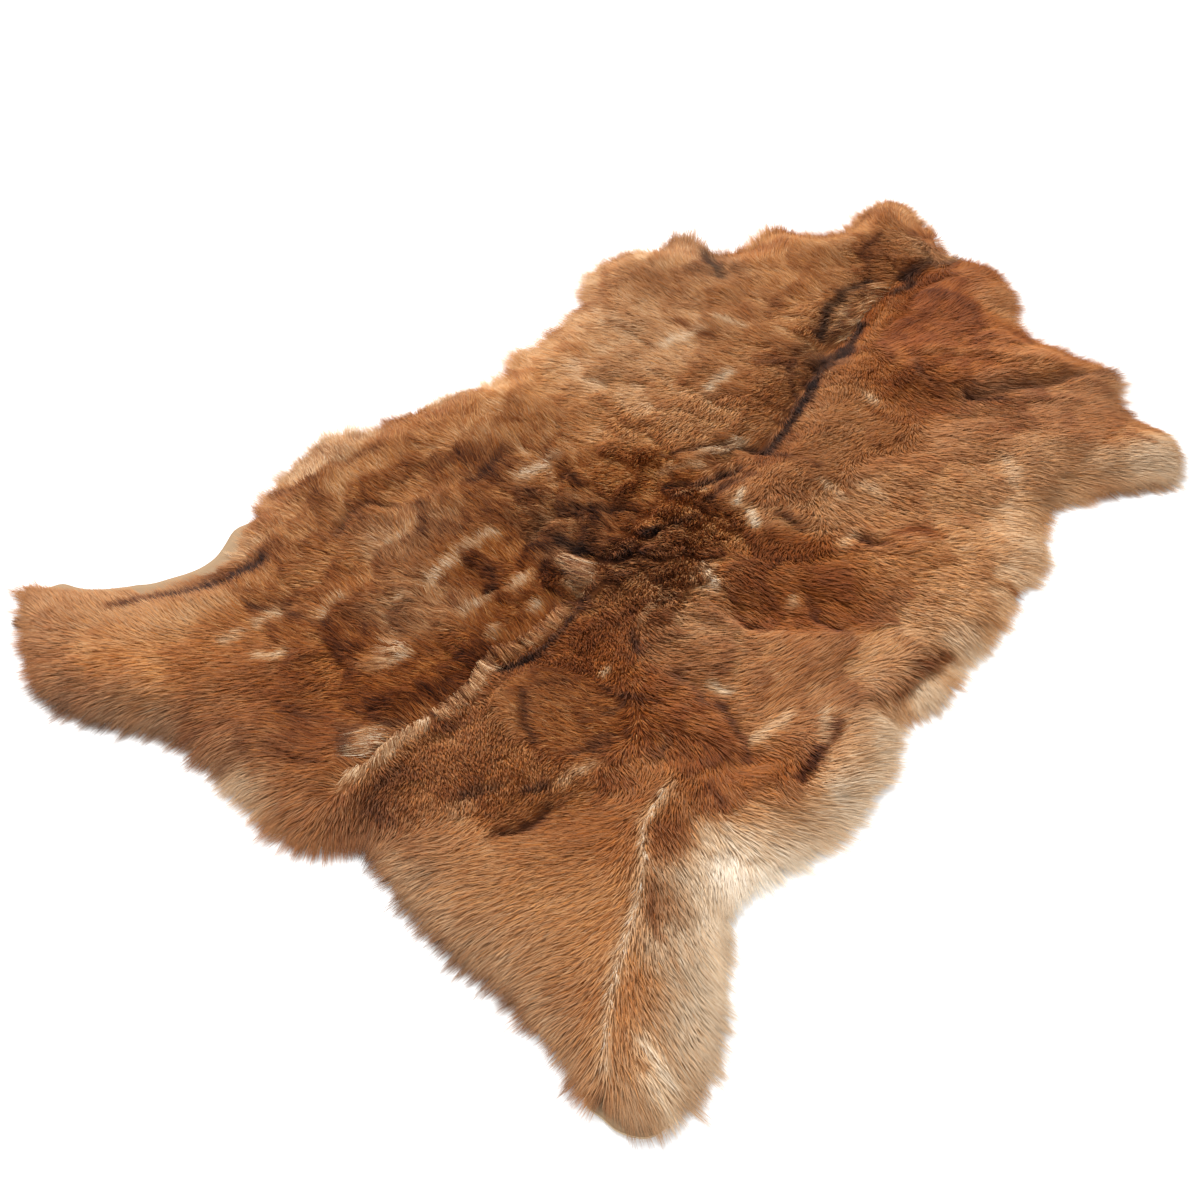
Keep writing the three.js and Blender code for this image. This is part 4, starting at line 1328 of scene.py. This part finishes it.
def hairRoots(layer, rng):
    # Roots on a jittered square grid over the coat, or over a band along its rim, thinned to the number
    # of hairs asked for.
    depthTo = layer.get("rimBand", hairShape["wholeCoat"])
    area = ((coatDepth > 0) & (coatDepth < depthTo)).sum() * planGrid["step"] ** 2
    pitch = math.sqrt(area / layer["hairs"]) * hairShape["rootPitch"]
    gx = np.arange(xs[0], xs[-1], pitch)
    gy = np.arange(ys[0], ys[-1], pitch)
    x, y = np.meshgrid(gx, gy)
    x = x.ravel() + rng.uniform(-0.5, 0.5, x.size) * pitch
    y = y.ravel() + rng.uniform(-0.5, 0.5, y.size) * pitch
    depth = sample(coatDepth, x, y)
    kept = (depth > hairShape["rootDepth"]) & (depth < depthTo)
    x = x[kept]
    y = y[kept]
    if len(x) > layer["hairs"]:
        chosen = rng.permutation(len(x))[:layer["hairs"]]
        x = x[chosen]
        y = y[chosen]
    return x, y


def turned(wayX, wayY, turn):
    # Unit vectors turned by an angle each, anticlockwise from above.
    scale = np.hypot(wayX, wayY) + tiny
    c = np.cos(turn) / scale
    s = np.sin(turn) / scale
    return wayX * c - wayY * s, wayX * s + wayY * c


def hairMesh(name, root, mid, tip, half, tones, warmth, tilt, rng, material):
    # Builds the kites between root and tip, each rolled by chance about its own length, by a share of the
    # tilt. Their maps hold the tone of root, middle and tip across, and the warmth up.
    count = len(root)
    along = tip - root
    along /= np.linalg.norm(along, axis=1)[:, None] + tiny
    level = np.column_stack([-along[:, 1], along[:, 0], np.zeros(count)])
    level /= np.linalg.norm(level, axis=1)[:, None] + tiny
    upright = np.cross(along, level)
    roll = (rng.normal(0, math.radians(hairShape["tiltDeg"]), count) * tilt)[:, None]
    across = (level * np.cos(roll) + upright * np.sin(roll)) * half[:, None]
    points = np.stack([root, mid - across, mid + across, tip], axis=1)
    points[:, :, 2] = np.maximum(points[:, :, 2], hairShape["lowest"]["point"])
    first = np.arange(count) * 4
    triangles = np.stack([
        np.column_stack([first, first + 1, first + 2]),
        np.column_stack([first + 2, first + 1, first + 3]),
    ], axis=1).reshape(-1, 3)
    rootTone, midTone, tipTone, warmth = [np.clip(t, *hairShape["toneEnds"]) for t in (*tones, warmth)]
    edge = hairShape["mapHalf"]
    rootMap = np.column_stack([rootTone, warmth])
    rightMap = np.column_stack([midTone, warmth - edge])
    leftMap = np.column_stack([midTone, warmth + edge])
    tipMap = np.column_stack([tipTone + hairShape["mapTip"], warmth])
    mapPoints = np.stack([rootMap, rightMap, leftMap, leftMap, rightMap, tipMap], axis=1).reshape(-1, 2)
    return addMesh(name, points.reshape(-1, 3), triangles, [material], mapPoints)


def makeHair(name, layer, material):
    # Root, middle and tip of every hair: the way from the combed lie, turned by its lobe and by chance;
    # the tip drawn towards its clump's tip; the heights from the underfur up to the coat's top.
    shape = hairShape
    rng = np.random.default_rng(layer["seed"])
    x, y = hairRoots(layer, rng)
    count = len(x)
    cx, cy, own = cellCentres(x, y, layer["clump"] * mm, layer["seed"] + shape["clumpSeed"])
    depth = sample(coatDepth, x, y)
    calm = smoothStep(depth / shape["calmDepth"])
    ease = sample(grainField, x, y)
    turn = (rng.normal(0, layer["turn"], count) + shape["clumpTurn"] * own) * ease
    wayX, wayY = turned(sample(lieX, x, y), sample(lieY, x, y), turn + sample(lobeTurn, x, y) * calm)
    bare = smoothStep(sample(bareWidth, x, y) / shape["bareStrip"]) * nearness(depth, shape["bareDepth"])
    fringe = nearness(depth, shape["fringeDepth"])
    length = sample(lengthField, x, y) * layer["length"] * (1 + shape["fringeLonger"] * fringe)
    length += np.maximum(sample(rimReach, x, y), 0) * fringe
    length *= 1 + rng.uniform(-1, 1, count) * shape["lengthVaries"]
    # Hair of one tongue ends near the tongue's own edge, the more so where the coat is restless.
    loose = shape["looseEnds"] * rng.uniform(shape["looseLeast"], 1, count)
    loose += (1 - sample(unrestField, x, y) * calm) * shape["calmLooseMm"] * mm
    length = np.minimum(length, lobeAhead(x, y, wayX, wayY, shape["lookAhead"]) + loose)
    # No tip reaches further past the rim than the overhang there, but for a few wisps.
    reach = np.maximum(sample(overhangField + rimReach, x, y), mm)
    reach *= rng.uniform(overhang["least"], overhang["most"], count) * layer["rimShare"]
    reach *= (1 + layer["spikes"] * own) * (1 - shape["bareShorter"] * bare)
    reach *= np.where(rng.uniform(0, 1, count) < layer.get("wisps", overhang["wisps"]), overhang["wisp"], 1)
    outwards = np.maximum(wayX * sample(awayX, x, y) + wayY * sample(awayY, x, y), shape["outLeast"])
    length = np.minimum(length, (depth + reach) / outwards)
    clumpX, clumpY = turned(sample(lieX, cx, cy), sample(lieY, cx, cy), sample(lobeTurn, cx, cy))
    tipX = x + wayX * length
    tipY = y + wayY * length
    pull = layer["pull"] * np.maximum(ease, 1 - calm)
    tipX += (cx + clumpX * length - tipX) * pull
    tipY += (cy + clumpY * length - tipY) * pull
    bend = rng.normal(0, shape["bend"], count) * length
    midX = x + (tipX - x) * shape["middle"] - wayY * bend
    midY = y + (tipY - y) * shape["middle"] + wayX * bend
    rootZ = hideTop(x, y) - shape["rootUnder"]
    stand = layer["stand"] * (1 + rng.normal(0, shape["standVaries"], count))
    stand *= 1 - shape["bareLower"] * bare
    tipTop = sample(coatTop, tipX, tipY)
    tipTop += np.maximum(sample(coatTop, x, y) - tipTop, -shape["tipFall"]) * (shape["keepsLevel"] * calm)
    tipZ = np.maximum(tipTop * stand, shape["lowest"]["tip"])
    atRim = nearness(depth, shape["edgeDepth"])
    tipZ += sample(rimLift, x, y) * rng.uniform(0, shape["liftMost"], count) * atRim
    midZ = rootZ + (np.maximum(sample(coatTop, midX, midY), tipTop) * stand - rootZ) * shape["middleRise"]
    root = np.column_stack([x, y, rootZ])
    mid = np.column_stack([midX, midY, np.maximum(midZ, shape["lowest"]["middle"])])
    tip = np.column_stack([tipX, tipY, tipZ])
    half = layer["width"] * mm / 2 * (1 + rng.uniform(-shape["widthVaries"], shape["widthVaries"], count))
    half *= 1 - shape["rimFiner"] * atRim
    # Tone and warmth are read a little beyond the root, so that markings keep their places.
    seenX = x + (tipX - x) * shape["seenAt"]
    seenY = y + (tipY - y) * shape["seenAt"]
    tone = sample(toneField, seenX, seenY) + sample(lobeTone, x, y) + layer["tone"]
    tone += (rng.normal(0, layer["spread"], count) + shape["clumpTone"] * own) * ease
    # Hairs near the rim are made paler as painted backlight.
    tone += shape["rimBacklight"] * nearness(depth, shape["paleDepth"])
    warmth = sample(warmthField, seenX, seenY) + rng.normal(0, shape["warmthVaries"], count)
    tipTone = tone + shape["tipTone"] + rng.normal(0, shape["tipVaries"], count) * ease
    # Each hair's tone is lowered towards its root as painted shade.
    tones = (tone - shape["rootShade"] * ease, tone, tipTone)
    piece = hairMesh(name, root, mid, tip, half, tones, warmth, ease, rng, material)
    print(name, "made,", count, "hairs")
    return piece


# Tufts: hairs of their own along a line of pixels, from its first towards one side and from its last
# towards another. Each lock is a few hairs that share their lean. Tones are those of root, middle and tip.
tufts = {
    "partingUpper": {
        "roots": [(560, 595), (551, 606), (538, 619), (524, 630), (506, 641), (486, 647)],
        "from": (13, 8), "to": (13, 13), "hairs": 1000, "lengthMm": 15, "depthMm": 6, "lockMm": 2.0,
        "lean": .20, "tones": (.26, .42, .54), "warmth": .66, "rise": 0.9, "width": .36, "unlike": .10,
        "bow": -.05,
    },
    "partingMiddle": {
        "roots": [(486, 650), (477, 662), (467, 681), (449, 697), (428, 708)],
        "from": (13, 12), "to": (9, 12), "hairs": 800, "lengthMm": 15, "depthMm": 7, "lockMm": 2.0,
        "lean": .20, "tones": (.34, .52, .56), "warmth": .56, "rise": 0.9, "width": .36, "unlike": .10,
        "bow": -.05,
    },
    "partingLower": {
        "roots": [(428, 712), (414, 722), (398, 734), (384, 748), (366, 763), (348, 776)],
        "from": (4, 13), "to": (-9, 11), "hairs": 900, "lengthMm": 13, "depthMm": 9, "lockMm": 2.4,
        "lean": .16, "tones": (.50, .64, .56), "warmth": .48, "rise": 0.9, "width": .38, "unlike": .07,
    },
    "rumpFan": {
        "roots": [(392, 724), (393, 738), (386, 752)],
        "from": (-34, 6), "to": (-34, 2), "hairs": 420, "lengthMm": 34, "depthMm": 6, "lockMm": 1.5,
        "lean": .05, "tones": (.48, .70, .70), "warmth": .38, "rise": 1.6, "width": .40, "unlike": .13,
        "bow": .05,
    },
    "arrowTuft": {
        "roots": [(412, 648), (408, 656), (400, 664)],
        "from": (-40, -9), "to": (-36, 6), "hairs": 330, "lengthMm": 28, "depthMm": 8, "lockMm": 3.0,
        "lean": .10, "tones": (.84, .70, .46), "warmth": .55, "rise": 1.4, "width": .45, "unlike": .08,
    },
    "backFan": {
        "roots": [(561, 546), (554, 558), (555, 573)],
        "from": (35, 12), "to": (32, 7), "hairs": 190, "lengthMm": 34, "depthMm": 14, "lockMm": 2.2,
        "lean": .07, "tones": (.20, .44, .60), "warmth": .52, "rise": 1.2, "width": .40, "unlike": .20,
        "bow": -.12,
    },
    "neckUpper": {
        "roots": [(893, 281), (888, 288), (876, 302), (866, 312)],
        "from": (-38, 5), "to": (-34, 12), "hairs": 560, "lengthMm": 38, "depthMm": 14, "lockMm": 1.8,
        "lean": .08, "tones": (.76, .50, .06), "warmth": .60, "rise": 1.2, "width": .42, "unlike": .10,
    },
    "neckLower": {
        "roots": [(864, 316), (858, 322), (851, 331)],
        "from": (-36, 9), "to": (-22, 14), "hairs": 520, "lengthMm": 33, "depthMm": 10, "lockMm": 1.8,
        "lean": .08, "tones": (.80, .54, .06), "warmth": .58, "rise": 2.6, "width": .42, "unlike": .10,
    },
    "toeTuft": {
        "roots": [(28, 618), (27, 624), (28, 630)],
        "from": (-20, 2), "to": (-20, -2), "hairs": 160, "lengthMm": 17, "depthMm": 4, "lockMm": 6,
        "lean": .16, "tones": (.30, .36, .30), "warmth": .40, "rise": 1, "width": .55, "unlike": .07,
    },
    "neckTuft": {
        "roots": [(748, 438), (740, 446), (724, 454)],
        "from": (-22, 6), "to": (-24, 3), "hairs": 400, "lengthMm": 20, "depthMm": 6, "lockMm": 2.2,
        "lean": .14, "tones": (.66, .62, .36), "warmth": .35, "rise": 2, "width": .45, "unlike": .10,
    },
    "hindSeam": {
        "roots": [
            (668, 784), (655, 802), (645, 820), (644, 850), (642, 880), (634, 916), (622, 948), (612, 978),
            (607, 1018), (604, 1062),
        ],
        "from": (-5, 20), "to": (-2, 22), "hairs": 640, "lengthMm": 12, "depthMm": 3, "lockMm": 2.4,
        "lean": .22, "tones": (.58, .72, .72), "warmth": .36, "rise": 1.0, "width": .42, "unlike": .08,
    },
}


# What all tufts share: shares of their own lengths, leans and heights, and how tone and warmth vary.
tuftShape = {
    "seed": 71,
    "strayLean": 0.6,
    "closing": 0.4,
    "length": (0.65, 1.15),
    "rise": (0.7, 1.1),
    "middle": 0.45,
    "middleSlide": 0.4,
    "middleRise": 0.8,
    "tipRise": 0.5,
    "toneVaries": 0.06,
    "warmthVaries": 0.05,
    "darkHairs": 0.36,
    "darkBy": 0.22,
}


def alongLine(share, marks, points):
    # Places at these shares of a line's length, straight between its own points.
    return np.column_stack([np.interp(share, marks, points[:, k]) for k in (0, 1)])


def makeTufts(material):
    # For each tuft: roots by chance along and across its line, the way between its first and its last aim
    # turned by the lock's lean, and middle and tip that way on, over the coat's top.
    shape = tuftShape
    roots = []
    mids = []
    tips = []
    halves = []
    tones = [[], [], []]
    warmths = []
    rng = np.random.default_rng(shape["seed"])
    for tuft in tufts.values():
        pixels = np.array(tuft["roots"], float)
        line = onCoat(pixels)
        steps = np.hypot(*np.diff(line, axis=0).T)
        marks = np.concatenate([[0], np.cumsum(steps)]) / steps.sum()
        count = tuft["hairs"]
        locks = max(2, int(steps.sum() / (tuft["lockMm"] * mm)))
        share = np.sort(rng.uniform(0, 1, count))
        lock = np.floor(share * locks).astype(int)
        lean = rng.normal(0, tuft["lean"], locks + 1)[lock]
        lean += rng.normal(0, shape["strayLean"] * tuft["lean"], count)
        # Hairs of a lock close up towards its middle as they go out.
        closing = ((lock + 0.5) / locks - share) * shape["closing"]
        here = alongLine(share, marks, pixels)
        aim = np.array(tuft["from"]) * (1 - share[:, None]) + np.array(tuft["to"]) * share[:, None]
        way = np.column_stack(turned(*(onCoat(here + aim) - onCoat(here)).T, lean))
        root = alongLine(share, marks, line)
        slide = alongLine(share + closing, marks, line) - root
        root += way * rng.uniform(-0.5, 0.5, (2, count)).T * tuft["depthMm"] * mm
        length = (tuft["lengthMm"] * mm * rng.uniform(*shape["length"], count))[:, None]
        aside = way[:, ::-1] * (-1, 1) * (tuft.get("bow", 0) * length)
        tip = root + way * length + slide
        mid = root + way * length * shape["middle"] + slide * shape["middleSlide"] + aside
        rise = tuft["rise"] * mm * rng.uniform(*shape["rise"], count)
        roots.append(np.column_stack([root, hideTop(*root.T)]))
        mids.append(np.column_stack([mid, sample(coatTop, *mid.T) + rise * shape["middleRise"]]))
        tips.append(np.column_stack([tip, sample(coatTop, *tip.T) + rise * shape["tipRise"]]))
        halves.append(np.full(count, tuft["width"] * mm / 2))
        varies = rng.normal(0, shape["toneVaries"], count) + rng.normal(0, tuft["unlike"], locks + 1)[lock]
        varies -= shape["darkBy"] * (rng.uniform(0, 1, count) < shape["darkHairs"])
        for rows, tone in zip(tones, tuft["tones"]):
            rows.append(tone + varies)
        warmths.append(tuft["warmth"] + rng.normal(0, shape["warmthVaries"], count))
    parts = [np.concatenate(rows) for rows in (roots, mids, tips, halves)]
    tones = [np.concatenate(rows) for rows in tones]
    piece = hairMesh("tufts", *parts, tones, np.concatenate(warmths), 1.0, rng, material)
    print("tufts made,", len(parts[0]), "hairs")
    return piece


goatHair = hairMaterial()
hairPieces = [makeHair(name, layer, goatHair) for name, layer in hairLayers.items()]
hairPieces.append(makeTufts(goatHair))

# Every piece rides on the rug's one body
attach(hidePiece, "root")
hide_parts("goatskin")
for piece in hairPieces:
    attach(piece, "root")
print("pieces ride on the frame")

# Studio: a pale floor, a broad soft light from behind on the left, fill from the front, a pale sky.
studio = {
    "floorSize": 14.0,
    "floorColour": (246, 246, 246),
    "skyStrength": 0.72,
    "lights": [
        {"name": "keyLight", "place": (-1.9, 0.9, 2.0), "size": 1.3, "power": 113},
        {"name": "fillLight", "place": (1.8, -2.0, 2.2), "size": 2.6, "power": 30},
    ],
}


def makeStudio():
    size = studio["floorSize"] / 2
    points = np.array([[-size, -size, 0], [size, -size, 0], [size, size, 0], [-size, size, 0]])
    material, tree, shader = newMaterial("studioFloor")
    shader.inputs["Base Color"].default_value = linear(studio["floorColour"])
    floor = addMesh("studioFloor", points, np.array([[0, 1, 2], [0, 2, 3]]), [material])
    for row in studio["lights"]:
        data = bpy.data.lights.new(row["name"], "AREA")
        data.shape = "DISK"
        data.size = row["size"]
        data.energy = row["power"]
        lamp = bpy.data.objects.new(row["name"], data)
        lamp.location = row["place"]
        lamp.rotation_euler = (-Vector(row["place"])).to_track_quat("-Z", "Y").to_euler()
        bpy.context.scene.collection.objects.link(lamp)
    world = bpy.data.worlds.new("paleSky")
    world.use_nodes = True
    sky = world.node_tree.nodes["Background"]
    sky.inputs["Color"].default_value = (1, 1, 1, 1)
    sky.inputs["Strength"].default_value = studio["skyStrength"]
    bpy.context.scene.world = world
    bpy.context.scene.view_settings.view_transform = "Standard"


makeStudio()
print("studio lit")
